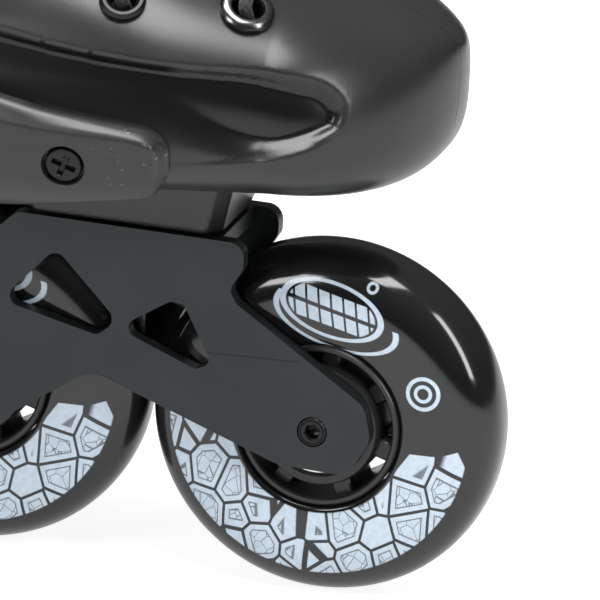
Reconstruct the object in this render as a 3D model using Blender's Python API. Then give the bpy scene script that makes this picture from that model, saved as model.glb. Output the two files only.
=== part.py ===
"""An inline skate, right foot: a hard shell boot with a hinged cuff on a four-wheel aluminium frame.

Lengths are in millimetres here and become metres as each mesh is made. +X points to the toe, +Y to the
inner side of the foot and +Z up. Helper shapes are written with the wheels in the plane y = 0 and the
floor at z = 0; an empty then moves the whole skate so that its box stands centred on the origin.
"""

import math

import bmesh
import bpy
from mathutils import Matrix, Vector

MM = 0.001

# Where the skate's own middle plane lies, so that the finished box is centred on the origin.
ORIGIN_SHIFT = Vector((0.0, 7.5, 0.0))

# Wheels: 80 mm wheels on a 243 mm wheelbase, each on two 608 bearings.
WHEEL_RADIUS = 40.0
WHEEL_PITCH = 81.0
WHEEL_X = [(1.5 - index) * WHEEL_PITCH for index in range(4)]
TYRE_HALF_WIDTH = 11.7
HUB_RIM_RADIUS = 18.6
HUB_BARREL_RADIUS = 13.4
HUB_HALF_WIDTH = 11.5
HUB_SPOKES = 7
BEARING_OUTER_RADIUS = 11.0
BEARING_BORE_RADIUS = 4.0
BEARING_WIDTH = 7.0
BEARING_FACE = 11.9
AXLE_RADIUS = 3.7
AXLE_TIP_RADIUS = 3.3
AXLE_HEAD_RADIUS = 5.0
TOUCH_GAP = 0.3

# Frame: an extruded channel, cut through to leave two decks that meet the boot.
FRAME_HALF_WIDTH = 16.0
FRAME_INNER_HALF_WIDTH = 12.3
FRONT_DECK_TOP = 81.0
REAR_DECK_TOP = 91.0
DECK_THICKNESS = 4.0
MOUNT_SPACING = 165.0
FRONT_MOUNT_X = 82.0
REAR_MOUNT_X = FRONT_MOUNT_X - MOUNT_SPACING
MOUNT_BOLT_RADIUS = 3.9
MOUNT_SLOT_RADIUS = 4.3

# Boot.
SHELL_WALL = 3.0
CUFF_WALL = 3.0
TOE_LENGTH = 33.8
TOE_CENTRE_HEIGHT = 125.0
TOE_SIDE_SHIFT = 4.0
TOE_WIDTH_POWER = 1.8
TOE_HEIGHT_POWER = 4.2
CUFF_PIVOT = Vector((-74.0, 0.0, 186.0))
PIVOT_BOLT_RADIUS = 5.0

# Each section of the boot: sole point x, z; top point x, z; height share of the widest place;
# outer and inner half widths; how square the upper and the lower half are.
BOOT_SECTIONS = [
    (112, 95.2, 112, 143.8, 0.40, 43.9, 44.6, 2.4, 2.8),
    (88, 94.5, 88, 151, 0.38, 50.2, 49.0, 2.4, 3.2),
    (58, 91.0, 56, 162, 0.35, 52.5, 50.0, 2.3, 3.2),
    (28, 89.0, 22, 179, 0.32, 50.0, 47.0, 2.2, 3.2),
    (-5, 90.5, -6, 196, 0.30, 45.5, 43.0, 2.2, 3.0),
    (-42, 95.0, -20, 210, 0.30, 41.0, 40.0, 2.3, 3.0),
    (-84, 99.0, -28, 220, 0.32, 39.5, 39.0, 2.5, 3.0),
    (-120, 103.0, -32, 226, 0.36, 39.0, 38.5, 2.6, 2.7),
    (-138, 118.0, -34, 230, 0.40, 39.0, 38.5, 2.6, 2.5),
    (-143, 142.0, -35, 233, 0.42, 39.0, 38.5, 2.6, 2.4),
    (-141, 168.0, -36, 237, 0.44, 39.0, 38.5, 2.6, 2.4),
    (-137, 192.0, -36, 242, 0.45, 39.0, 38.5, 2.6, 2.4),
    (-134, 216.0, -34, 252, 0.46, 40.0, 39.5, 2.5, 2.4),
    (-129, 248.0, -28, 272, 0.47, 42.0, 41.5, 2.4, 2.3),
    (-121, 286.0, -18, 300, 0.48, 44.0, 43.5, 2.3, 2.2),
    (-111, 330.0, -8, 334, 0.48, 45.5, 45.0, 2.2, 2.2),
]
SHELL_LAST = 11.0
COLLAR_LAST = 15.0
# Half angle, from the top of a section, of the opening that the laces close, per section.
THROAT_HALF_ANGLE = [0.48, 0.54, 0.68, 0.73, 0.78, 0.84, 0.88, 0.90, 0.92, 0.92, 0.90, 0.86]

# The cuff has its own sections, written like the boot's, measured on its inner face.
CUFF_SECTIONS = [
    (-147.0, 170, -20, 176, 0.47, 42.0, 41.5, 2.6, 2.8),
    (-146.0, 196, -18, 212, 0.47, 42.5, 42.0, 2.6, 2.8),
    (-141.0, 226, -17, 246, 0.47, 43.5, 43.0, 2.5, 2.6),
    (-134.0, 262, -12, 278, 0.48, 45.5, 45.0, 2.4, 2.4),
    (-123.0, 300, -4, 306, 0.48, 47.5, 47.0, 2.3, 2.3),
    (-117.0, 322, 1, 324, 0.48, 48.5, 48.0, 2.3, 2.3),
]
CUFF_OPENING = [1.20, 1.02, 0.72, 0.50, 0.44, 0.52]

# Lace holes on each side of the throat as (place, angle), front pair first.
EYELETS = [(0.38, 0.73), (1.29, 0.89), (2.15, 0.96), (2.97, 1.01), (3.72, 1.05)]
EYELET_HOLE_RADIUS = 3.0
LACE_RADIUS = 1.5
# Depths below the boot's outer form, through the layers under the throat.
LACE_UNDER = 5.75
TONGUE_OUTSIDE = 7.6
TONGUE_THICKNESS = 4.4

COLOURS = {
    "shell_plastic": ((0.075, 0.077, 0.078), 0.42, 0.0),
    "slider_plastic": ((0.085, 0.087, 0.088), 0.45, 0.0),
    "frame_alloy": ((0.055, 0.062, 0.064), 0.45, 0.6),
    "tyre_urethane": ((0.012, 0.012, 0.013), 0.15, 0.0),
    "hub_plastic": ((0.020, 0.020, 0.020), 0.35, 0.0),
    "bearing_steel": ((0.62, 0.62, 0.60), 0.18, 1.0),
    "black_steel": ((0.05, 0.05, 0.05), 0.35, 0.9),
    "liner_fabric": ((0.02, 0.02, 0.022), 0.85, 0.0),
    "lace_cord": ((0.015, 0.015, 0.016), 0.8, 0.0),
    "strap_plastic": ((0.03, 0.03, 0.032), 0.5, 0.0),
    "footbed_foam": ((0.10, 0.10, 0.11), 0.9, 0.0),
}


def clear_scene():
    """Removes whatever the start-up file holds."""
    for obj in list(bpy.data.objects):
        bpy.data.objects.remove(obj, do_unlink=True)


def material(name):
    """The Principled material of that name, made once."""
    found = bpy.data.materials.get(name)
    if found:
        return found
    colour, roughness, metallic = COLOURS[name]
    made = bpy.data.materials.new(name)
    made.use_nodes = True
    shader = made.node_tree.nodes["Principled BSDF"]
    shader.inputs["Base Color"].default_value = (*colour, 1.0)
    shader.inputs["Roughness"].default_value = roughness
    shader.inputs["Metallic"].default_value = metallic
    return made


def make_object(name, bm, finish, parent, smooth_angle=35.0):
    """Turns a bmesh in millimetres into a named object with outward faces."""
    bmesh.ops.remove_doubles(bm, verts=bm.verts, dist=0.0005)
    bmesh.ops.recalc_face_normals(bm, faces=bm.faces)
    widest = max(bm.faces, key=lambda face: face.calc_center_median().y)
    if widest.normal.y < 0:
        bmesh.ops.reverse_faces(bm, faces=bm.faces)
    bmesh.ops.scale(bm, vec=(MM, MM, MM), verts=bm.verts)
    mesh = bpy.data.meshes.new(name)
    bm.to_mesh(mesh)
    bm.free()
    if smooth_angle:
        mesh.shade_smooth()
        mesh.set_sharp_from_angle(angle=math.radians(smooth_angle))
    obj = bpy.data.objects.new(name, mesh)
    bpy.context.scene.collection.objects.link(obj)
    if finish:
        mesh.materials.append(material(finish))
    obj.parent = parent
    return obj


def make_cutter(name, bm, parent):
    """A helper solid for a Boolean, which isn't a part of the skate."""
    obj = make_object(name, bm, None, parent)
    obj.hide_render = True
    obj.display_type = "WIRE"
    return obj


def boolean(obj, other, operation):
    """Adds an exact Boolean to obj."""
    modifier = obj.modifiers.new(operation.title(), "BOOLEAN")
    modifier.operation = operation
    modifier.object = other
    modifier.solver = "EXACT"


# ---- Shapes -------------------------------------------------------------------------------------


def spline(values, place):
    """Catmull-Rom value of a list of equal-length tuples at a fractional index."""
    last = len(values) - 1
    index = min(int(max(place, 0.0)), last - 1)
    t = min(max(place, 0.0), last) - index
    a, b, c, d = (values[min(max(index + k, 0), last)] for k in (-1, 0, 1, 2))
    return [
        0.5 * (2 * q + (r - p) * t + (2 * p - 5 * q + 4 * r - s) * t**2 + (3 * q - p - 3 * r + s) * t**3)
        for p, q, r, s in zip(a, b, c, d)
    ]


def section_point(section, angle, outset=0.0):
    """Point of a section at an angle from its top, turning to the outer side of the foot first."""
    sole_x, sole_z, top_x, top_z, share, outer, inner, upper, lower = section[:9]
    side_shift = section[9] if len(section) > 9 else 0.0
    sole, top = Vector((sole_x, 0, sole_z)), Vector((top_x, 0, top_z))
    up = (top - sole).normalized()
    centre = sole + (top - sole) * share
    across, along = math.sin(angle), math.cos(angle)
    height = ((top - centre).length if along >= 0 else (centre - sole).length) + outset
    width = (outer if across >= 0 else inner) + outset
    power = upper if along >= 0 else lower
    scale = (abs(across) ** power + abs(along) ** power) ** (-1 / power)
    return centre + up * (height * scale * along) + Vector((0, side_shift - width * scale * across, 0))


def toe_section(share):
    """Section at a share of the way from the first boot section to the toe's tip."""
    base = list(BOOT_SECTIONS[0])
    x = base[0] + TOE_LENGTH * share
    wide = (1 - share**TOE_WIDTH_POWER) ** (1 / TOE_WIDTH_POWER)
    tall = (1 - share**TOE_HEIGHT_POWER) ** (1 / TOE_HEIGHT_POWER)
    sole_z = base[1] + 1.6 * share
    top_z = base[3] - 12.4 * share
    low = TOE_CENTRE_HEIGHT - (TOE_CENTRE_HEIGHT - sole_z) * tall
    high = TOE_CENTRE_HEIGHT + (top_z - TOE_CENTRE_HEIGHT) * tall
    return [x, low, x, high, base[4], base[5] * wide, base[6] * wide, base[7], base[8], TOE_SIDE_SHIFT * share**2]


def boot_section(place):
    """Section at a place: 0 and up counts the table's sections, -1 to 0 runs from the toe's tip."""
    return toe_section(-place) if place < 0 else spline(BOOT_SECTIONS, place) + [0.0]


def boot_point(place, angle, outset=0.0):
    """Point of the boot's outer form, moved outwards by outset."""
    return section_point(boot_section(place), angle, outset)


def toe_places(count):
    """Places from just behind the toe's tip to the first section, closer together at the tip."""
    return [-math.sin(math.pi / 2 * (1 - k / count)) for k in range(1, count + 1)]


def throat_angle(place):
    """Half angle of the lace opening at a place: it starts as a rounded slot end."""
    if place <= 0:
        return 0.0
    angle = spline([(a,) for a in THROAT_HALF_ANGLE], place)[0]
    return angle * math.sqrt(1 - (1 - min(1.0, place / 0.5)) ** 2)


def add_grid(bm, rows, wrap_across=False):
    """Faces between rows of points. Returns the rows of vertices."""
    made = [[bm.verts.new(p) for p in row] for row in rows]
    for first, second in zip(made, made[1:]):
        count = len(first)
        for k in range(count if wrap_across else count - 1):
            corners = [first[k], first[(k + 1) % count], second[(k + 1) % count], second[k]]
            bm.faces.new(corners)
    return made


def loft(rows, close_start=True, close_end=True):
    """A closed solid through rings of points; an end is filled with one face or a fan to its middle."""
    bm = bmesh.new()
    made = add_grid(bm, rows, wrap_across=True)
    for wanted, ring in ((close_start, made[0]), (close_end, made[-1])):
        if wanted:
            bm.faces.new(ring)
    return bm


def prism(points, y_low, y_high):
    """Extrudes a closed outline in the x-z plane from y_low to y_high."""
    bm = bmesh.new()
    face = bm.faces.new([bm.verts.new((x, y_low, z)) for x, z in points])
    grown = bmesh.ops.extrude_face_region(bm, geom=[face])
    verts = [g for g in grown["geom"] if isinstance(g, bmesh.types.BMVert)]
    bmesh.ops.translate(bm, vec=(0, y_high - y_low, 0), verts=verts)
    return bm


def rounded(corners, steps=3):
    """Closed outline from corners (x, z, fillet radius), each fillet drawn as an arc."""
    points = []
    count = len(corners)
    for k, (x, z, radius) in enumerate(corners):
        here = Vector((x, z))
        before = (Vector(corners[k - 1][:2]) - here).normalized()
        after = (Vector(corners[(k + 1) % count][:2]) - here).normalized()
        if radius <= 0:
            points.append((x, z))
            continue
        half = before.angle(after) / 2
        centre = here + (before + after).normalized() * (radius / math.sin(half))
        start = here + before * (radius / math.tan(half)) - centre
        turn = start.angle_signed(here + after * (radius / math.tan(half)) - centre)
        for step in range(steps + 1):
            arm = start.copy()
            arm.rotate(Matrix.Rotation(-turn * step / steps, 2))
            points.append((centre.x + arm.x, centre.y + arm.y))
    return points


def turned(profile, centre, segments):
    """Solid turned about the y direction through centre, from a closed profile of (radius, y)."""
    rows = []
    for step in range(segments):
        angle = math.tau * step / segments
        rows.append([
            (centre.x + r * math.cos(angle), centre.y + y, centre.z + r * math.sin(angle)) for r, y in profile
        ])
    bm = bmesh.new()
    made = [[bm.verts.new(p) for p in row] for row in rows]
    count = len(profile)
    for k in range(segments):
        first, second = made[k], made[(k + 1) % segments]
        for j in range(count):
            bm.faces.new([first[j], first[(j + 1) % count], second[(j + 1) % count], second[j]])
    return bm


def rod(steps, centre, segments):
    """Solid turned about the y direction from steps (radius, y), closed by flat ends."""
    rows = [
        [
            (centre.x + r * math.cos(math.tau * k / segments), centre.y + y,
             centre.z + r * math.sin(math.tau * k / segments))
            for k in range(segments)
        ]
        for r, y in steps
    ]
    return loft(rows)


def place_rod(bm, position, direction):
    """Turns a rod made about y at the origin so that +y runs along direction, and moves it."""
    turn = Vector((0, 1, 0)).rotation_difference(direction).to_matrix().to_4x4()
    bmesh.ops.transform(bm, matrix=Matrix.Translation(position) @ turn, verts=bm.verts)
    return bm


def swept(frames, profile):
    """Solid that carries a closed profile of (across, out) along frames of (point, across, out)."""
    rows = [[p + side * u + out * w for u, w in profile] for p, side, out in frames]
    return loft(rows)


def strip_frames(point_at, angles, rise):
    """Frames along a band that runs round a form: point_at(angle, rise, outset) gives its points."""
    frames = []
    for angle in angles:
        here = point_at(angle, 0.0, rise)
        ahead = point_at(angle - 0.02, 0.0, rise) - point_at(angle + 0.02, 0.0, rise)
        beside = point_at(angle, 4.0, rise) - point_at(angle, -4.0, rise)
        out = beside.cross(ahead).normalized()
        outward = point_at(angle, 0.0, rise + 2.0) - here
        if out.dot(outward) < 0:
            out = -out
        side = out.cross(ahead).normalized()
        frames.append((here, side, out))
    return frames


# ---- Wheels -------------------------------------------------------------------------------------


def tyre_profile():
    """Closed half-round tyre profile as (radius, y): flat sides that roll over to the tread."""
    points = []
    for k in range(-4, 5):
        share = math.sin(math.pi / 2 * k / 4)
        drop = (1 - abs(share) ** 2.4) ** (1 / 2.4)
        points.append((26.0 + 14.0 * drop, TYRE_HALF_WIDTH * share))
    inner = HUB_RIM_RADIUS + TOUCH_GAP
    return [*points, (inner, TYRE_HALF_WIDTH - 0.6), (inner, -TYRE_HALF_WIDTH + 0.6)]


def hub_bmesh(centre):
    """Hub core: outer rim, bearing barrel and a middle web, with one pocket cutter kept apart."""
    rim, barrel = HUB_RIM_RADIUS, HUB_BARREL_RADIUS
    seat = BEARING_OUTER_RADIUS + TOUCH_GAP
    half, web = HUB_HALF_WIDTH, 6.5
    shoulder = BEARING_FACE - BEARING_WIDTH - TOUCH_GAP
    profile = [
        (rim, -half + 1), (rim, half - 1), (rim - 1.6, half - 1), (rim - 1.6, web), (barrel, web),
        (barrel, half), (seat, half), (seat, shoulder), (8.5, shoulder), (8.5, -shoulder), (seat, -shoulder),
        (seat, -half), (barrel, -half), (barrel, -web), (rim - 1.6, -web), (rim - 1.6, -half + 1),
    ]
    return turned(profile, centre, 18)


def hub_pockets(centre):
    """Cutters between the hub's spokes, joined as one helper."""
    bm = bmesh.new()
    pitch = math.tau / HUB_SPOKES
    for spoke in range(HUB_SPOKES):
        start = spoke * pitch + pitch * 0.28
        outline = []
        for radius, order in ((HUB_BARREL_RADIUS + 0.6, (0, 1)), (HUB_RIM_RADIUS - 2.2, (1, 0))):
            for step in order:
                angle = start + pitch * 0.52 * step
                outline.append((centre.x + radius * math.cos(angle), centre.z + radius * math.sin(angle)))
        piece = prism(outline, -14.0, 14.0)
        bmesh.ops.recalc_face_normals(piece, faces=piece.faces)
        mesh = bpy.data.meshes.new("pocket")
        piece.to_mesh(mesh)
        piece.free()
        bm.from_mesh(mesh)
        bpy.data.meshes.remove(mesh)
    return bm


def build_wheel(number, x, root):
    """One wheel: what turns hangs on an empty on the axle, and what stays hangs on the skate."""
    centre = Vector((x, 0.0, WHEEL_RADIUS))
    spin = bpy.data.objects.new(f"wheel_{number}_spin", None)
    bpy.context.scene.collection.objects.link(spin)
    spin.parent = root
    spin.location = centre * MM
    here = Vector((0.0, 0.0, 0.0))
    make_object(f"wheel_{number}_tyre", turned(tyre_profile(), here, 28), "tyre_urethane", spin)
    hub = make_object(f"wheel_{number}_hub", hub_bmesh(here), "hub_plastic", spin)
    boolean(hub, make_cutter(f"wheel_{number}_pockets", hub_pockets(here), spin), "DIFFERENCE")
    for side, label in ((-1, "outer_side"), (1, "inner_side")):
        low, high = sorted((side * BEARING_FACE, side * (BEARING_FACE - BEARING_WIDTH)))
        race_in = BEARING_BORE_RADIUS + 2.4
        outer = [(BEARING_OUTER_RADIUS, low), (BEARING_OUTER_RADIUS, high), (race_in + 0.3, high), (race_in + 0.3, low)]
        inner = [(race_in, low), (race_in, high), (BEARING_BORE_RADIUS, high), (BEARING_BORE_RADIUS, low)]
        make_object(f"wheel_{number}_bearing_outer_{label}", turned(outer, here, 24), "bearing_steel", spin)
        make_object(f"wheel_{number}_bearing_inner_{label}", turned(inner, centre, 14), "bearing_steel", root)
    spacer_half = BEARING_FACE - BEARING_WIDTH - TOUCH_GAP
    spacer = [(5.6, -spacer_half), (5.6, spacer_half), (4.0, spacer_half), (4.0, -spacer_half)]
    make_object(f"wheel_{number}_spacer", turned(spacer, centre, 14), "bearing_steel", root)
    inside = FRAME_HALF_WIDTH
    axle = rod([(AXLE_TIP_RADIUS, -inside + 0.2), (AXLE_TIP_RADIUS, -FRAME_INNER_HALF_WIDTH + 0.2),
                (AXLE_RADIUS, -FRAME_INNER_HALF_WIDTH + 0.4), (AXLE_RADIUS, inside - 2.2),
                (AXLE_HEAD_RADIUS, inside - 2.2), (AXLE_HEAD_RADIUS, inside + 0.6)], centre, 16)
    make_object(f"wheel_{number}_axle", axle, "black_steel", root)


# ---- Frame --------------------------------------------------------------------------------------


def frame_outline():
    """Side view of the frame, from the front deck's rear end, clockwise seen from the outer side."""
    front, rear = FRONT_DECK_TOP, REAR_DECK_TOP
    return rounded([
        (51, front, 3), (103.5, front, 3.5), (103.5, 75, 2.5), (100.6, 70, 2.5), (102.5, 67, 2.0),
        (133, 47.6, 5.0), (135, 40, 5.0), (130, 31, 5), (114, 31.4, 12), (70, 46.8, 8), (50, 32.5, 8), (31, 32.5, 8),
        (0, 50, 10), (-31, 32.5, 8), (-50, 32.5, 8), (-70, 46.8, 8), (-114, 31.4, 12), (-130, 31, 5), (-135, 40, 5.0),
        (-133, 47.6, 5.0), (-104, 71, 3), (-101, 77, 2.5), (-105, 83, 2.5), (-105, rear, 3.5),
        (-56, rear, 3), (-44, 74, 6), (0, 66, 20), (42, 72, 6),
    ])


def frame_cutouts():
    """Lightening holes that pass through both side plates."""
    return [
        rounded([(60.5, 73.8, 2.6), (75.6, 59, 2.8), (71, 55.2, 2.4), (48.4, 60.2, 2.4)]),
        rounded([(87.4, 65.4, 1.6), (90.6, 65.0, 1.6), (97.6, 52.4, 1.8), (94, 50.6, 1.8), (75.6, 57.6, 2.2)]),
        rounded([(12, 61.5, 2.4), (40, 66.0, 2.6), (36, 56.5, 2.6), (16, 54.5, 2.4)]),
        rounded([(-12, 61.5, 2.4), (-40, 67, 2.6), (-36, 56.5, 2.6), (-16, 54.5, 2.4)]),
        rounded([(-60, 84, 2.6), (-74, 62, 2.8), (-70, 56, 2.4), (-48, 62, 2.4)]),
        rounded([(-82, 76, 2.2), (-95, 74, 2.2), (-98, 56, 2.2), (-78, 60, 2.2)]),
    ]


def frame_channel():
    """Side views of what is cut from between the plates: all but the two decks and a middle bridge."""
    front, rear = FRONT_DECK_TOP - DECK_THICKNESS, REAR_DECK_TOP - DECK_THICKNESS
    return [
        [(-150, 20), (150, 20), (150, 90), (104.5, 90), (104.5, front), (58, front), (58, 90), (9, 90),
         (9, 58), (-9, 58), (-9, 110), (-58, 110), (-58, rear), (-106, rear), (-106, 110), (-150, 110)],
    ]


def join_into(bm, other):
    """Adds the faces of another bmesh to bm, outward faces first made sure of."""
    bmesh.ops.recalc_face_normals(other, faces=other.faces)
    mesh = bpy.data.meshes.new("joined")
    other.to_mesh(mesh)
    other.free()
    bm.from_mesh(mesh)
    bpy.data.meshes.remove(mesh)


def slot_cutter(x, z_low, z_high):
    """Upright cutter for a mounting slot that lets the frame shift sideways on the boot."""
    rows = []
    for z in (z_low, z_high):
        ring = []
        for side in (1, -1):
            for step in range(9):
                angle = math.pi * step / 8 + (0 if side > 0 else math.pi)
                ring.append((x + MOUNT_SLOT_RADIUS * math.cos(angle), side * 3.0 + MOUNT_SLOT_RADIUS * math.sin(angle), z))
        rows.append(ring)
    return loft(rows)


def build_frame(root):
    """The frame, cut from one extruded block."""
    block = prism(frame_outline(), -FRAME_HALF_WIDTH, FRAME_HALF_WIDTH)
    frame = make_object("frame", block, "frame_alloy", root, smooth_angle=0.0)
    channel = bmesh.new()
    for outline in frame_channel():
        join_into(channel, prism(outline, -FRAME_INNER_HALF_WIDTH, FRAME_INNER_HALF_WIDTH))
    boolean(frame, make_cutter("frame_channel", channel, root), "DIFFERENCE")
    holes = bmesh.new()
    for outline in frame_cutouts():
        join_into(holes, prism(outline, -20.0, 20.0))
    for x in WHEEL_X:
        centre = Vector((x, 0.0, WHEEL_RADIUS))
        join_into(holes, rod([(AXLE_TIP_RADIUS + 0.2, -20.0), (AXLE_TIP_RADIUS + 0.2, 0.0)], centre, 20))
        join_into(holes, rod([(AXLE_RADIUS + 0.2, 0.2), (AXLE_RADIUS + 0.2, FRAME_HALF_WIDTH - 2.5),
                              (AXLE_HEAD_RADIUS + 0.3, FRAME_HALF_WIDTH - 2.5), (AXLE_HEAD_RADIUS + 0.3, 20.0)],
                             centre, 20))
    for x, top in ((FRONT_MOUNT_X, FRONT_DECK_TOP), (REAR_MOUNT_X, REAR_DECK_TOP)):
        join_into(holes, slot_cutter(x, top - 8.0, top + 4.0))
    boolean(frame, make_cutter("frame_holes", holes, root), "DIFFERENCE")
    arches = bmesh.new()
    for x in WHEEL_X:
        join_into(arches, rod([(41.6, -FRAME_INNER_HALF_WIDTH + 0.1), (41.6, FRAME_INNER_HALF_WIDTH - 0.1)],
                              Vector((x, 0.0, WHEEL_RADIUS)), 36))
    boolean(frame, make_cutter("wheel_arches", arches, root), "DIFFERENCE")


def build_mount_bolt(name, x, deck_top, sole_top, root):
    """A bolt pushed up through the deck's slot into the sole, with the wide washer under its head."""
    under = deck_top - DECK_THICKNESS - TOUCH_GAP
    washer_top, washer_low = under, under - 1.2
    axis = Vector((0, 0, 1))
    washer = turned([(8.0, 0), (8.0, 1.2), (MOUNT_BOLT_RADIUS + 0.3, 1.2), (MOUNT_BOLT_RADIUS + 0.3, 0)],
                    Vector((0, 0, 0)), 20)
    place_rod(washer, Vector((x, 0, washer_low)), axis)
    make_object(f"{name}_washer", washer, "black_steel", root)
    head_top = washer_low - TOUCH_GAP
    length = sole_top - head_top
    bolt = rod([(6.3, -4.0), (6.3, 0.0), (MOUNT_BOLT_RADIUS, 0.0), (MOUNT_BOLT_RADIUS, length)], Vector((0, 0, 0)), 18)
    place_rod(bolt, Vector((x, 0, head_top)), axis)
    make_object(f"{name}_bolt", bolt, "black_steel", root)


# ---- Boot ---------------------------------------------------------------------------------------


def shell_rows(toe_count, step, across):
    """Rows of points over the shell's outer face, from the toe's tip to its ankle edge."""
    places = [*toe_places(toe_count), 0.12, 0.3, 0.5]
    place = 0.5 + step
    while place < SHELL_LAST + 0.01:
        places.append(min(place, SHELL_LAST))
        place += step
    rows = []
    for place in places:
        start = throat_angle(place)
        rows.append([boot_point(place, start + (math.tau - 2 * start) * k / across) for k in range(across + 1)])
    return rows


def sole_block(x_low, x_high, z_low, z_tops, half_low, half_high):
    """A moulded mounting block under the sole that widens upwards to meet its slope."""
    rows = []
    for tops, half, grow in (((z_low, z_low), half_low, 0.0), (z_tops, half_high, 5.0)):
        back, front = tops
        rows.append([
            (x_low - grow + 3, -half, back), (x_high + grow - 3, -half, front), (x_high + grow, -half + 4, front),
            (x_high + grow, half - 4, front), (x_high + grow - 3, half, front), (x_low - grow + 3, half, back),
            (x_low - grow, half - 4, back), (x_low - grow, -half + 4, back),
        ])
    return loft(rows)


def build_shell(root):
    """The shell: one moulded wall with the two mounting blocks, drilled for the mount bolts."""
    bm = bmesh.new()
    rows = shell_rows(6, 0.5, 26)
    made = add_grid(bm, rows)
    tip = bm.verts.new(boot_point(-1.0, 0.0))
    for k in range(len(made[0]) - 1):
        bm.faces.new([tip, made[0][k + 1], made[0][k]])
    shell = make_object("shell", bm, "shell_plastic", root)
    wall = shell.modifiers.new("Wall", "SOLIDIFY")
    wall.thickness = SHELL_WALL * MM
    wall.offset = -1.0
    wall.use_even_offset = False
    blocks = bmesh.new()
    join_into(blocks, sole_block(52, 97, FRONT_DECK_TOP + TOUCH_GAP, (92.2, 98.8), 15.0, 24.0))
    join_into(blocks, sole_block(-108, -58, REAR_DECK_TOP + TOUCH_GAP, (104.2, 97.9), 15.0, 22.0))
    boolean(shell, make_cutter("sole_blocks", blocks, root), "UNION")
    drills = bmesh.new()
    for x in (FRONT_MOUNT_X, REAR_MOUNT_X):
        bolt_hole = rod([(MOUNT_BOLT_RADIUS + TOUCH_GAP, 70.0), (MOUNT_BOLT_RADIUS + TOUCH_GAP, 125.0)], Vector((0, 0, 0)), 18)
        join_into(drills, place_rod(bolt_hole, Vector((x, 0, 0)), Vector((0, 0, 1))))
    for place, angle in EYELETS:
        for side in (1, -1):
            here, out = surface_frame(place, side * angle, 0.0)
            lace_hole = rod([(EYELET_HOLE_RADIUS, -7.0), (EYELET_HOLE_RADIUS, 5.0)], Vector((0, 0, 0)), 10)
            join_into(drills, place_rod(lace_hole, here, out))
    join_into(drills, rod([(PIVOT_BOLT_RADIUS + TOUCH_GAP, -60.0), (PIVOT_BOLT_RADIUS + TOUCH_GAP, 60.0)],
                          CUFF_PIVOT, 20))
    boolean(shell, make_cutter("bolt_holes", drills, root), "DIFFERENCE")


def liner_inset(place, angle):
    """How far the liner's outer face lies inside the boot's form: deeper under the tongue."""
    turn = (angle + math.pi) % math.tau - math.pi
    under_tongue = max(0.0, 1 - (abs(turn) / 1.45) ** 4) * min(1.0, max(0.0, place + 0.9))
    return -(SHELL_WALL + 2.0 + 8.4 * under_tongue + 4.8 * max(0.0, -place - 0.3))


def build_liner(root):
    """The padded inner boot, open at its collar."""
    across = 22
    wall = 5.0
    places = [-0.75, -0.62, -0.4, 0.0, *(0.8 + 0.8 * k for k in range(17)), 14.3, COLLAR_LAST]
    angles = [math.tau * k / across for k in range(across)]
    outside = [[boot_point(p, a, liner_inset(p, a)) for a in angles] for p in places]
    inside = [[boot_point(p, a, liner_inset(p, a) - wall) for a in angles] for p in places[1:]]
    bm = bmesh.new()
    outer = add_grid(bm, outside, wrap_across=True)
    inner = add_grid(bm, inside, wrap_across=True)
    bm.faces.new(outer[0])
    bm.faces.new(inner[0])
    for k in range(across):
        after = (k + 1) % across
        bm.faces.new([outer[-1][k], outer[-1][after], inner[-1][after], inner[-1][k]])
    make_object("liner", bm, "liner_fabric", root)


def build_tongue(root):
    """The padded tongue, from under the laces up to the shin."""
    rows = []
    place = 0.75
    half_steps = 5
    while place <= COLLAR_LAST + 0.001:
        half = 0.62 + 0.10 * min(1.0, place / 6)
        steps = range(half_steps, -half_steps - 1, -1)
        top_row = [boot_point(place, half * k / half_steps, -TONGUE_OUTSIDE) for k in steps]
        low_row = [
            boot_point(place, half * k / half_steps, -TONGUE_OUTSIDE - TONGUE_THICKNESS) for k in reversed(steps)
        ]
        rows.append([*top_row, *low_row])
        place += 0.75
    end = rows[-1]
    shift = (boot_point(COLLAR_LAST, 0) - boot_point(COLLAR_LAST - 0.5, 0)).normalized() * 12.0
    rows.append([p + shift for p in end])
    make_object("tongue", loft(rows), "liner_fabric", root)


def build_footbed(root):
    """The insole that lies in the liner."""
    rows = []
    for place in (-0.52, 0.0, 1.0, 2.0, 3.0, 4.0, 5.0, 6.0, 6.6):
        section = boot_section(place)
        middle = boot_point(place, math.pi, -(SHELL_WALL + 7.4))
        half_outer, half_inner = section[5] - 18.0, section[6] - 18.0
        if place < 0:
            half_outer, half_inner = section[5] - 15.0, section[6] - 15.0
        shift = section[9]
        low = middle.z + 1.0 + 5.0 * max(0.0, place - 5.6)
        profile = [(-1.0, 4.4), (-0.6, 0.9), (0.0, 0.0), (0.6, 0.9), (1.0, 4.4), (1.0, 6.6), (0.6, 4.6), (0.0, 4.0),
                   (-0.6, 4.6), (-1.0, 6.6)]
        rows.append([
            (middle.x, shift + share * (half_outer if share < 0 else half_inner), low + lift)
            for share, lift in profile
        ])
    make_object("footbed", loft(rows), "footbed_foam", root)


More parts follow.
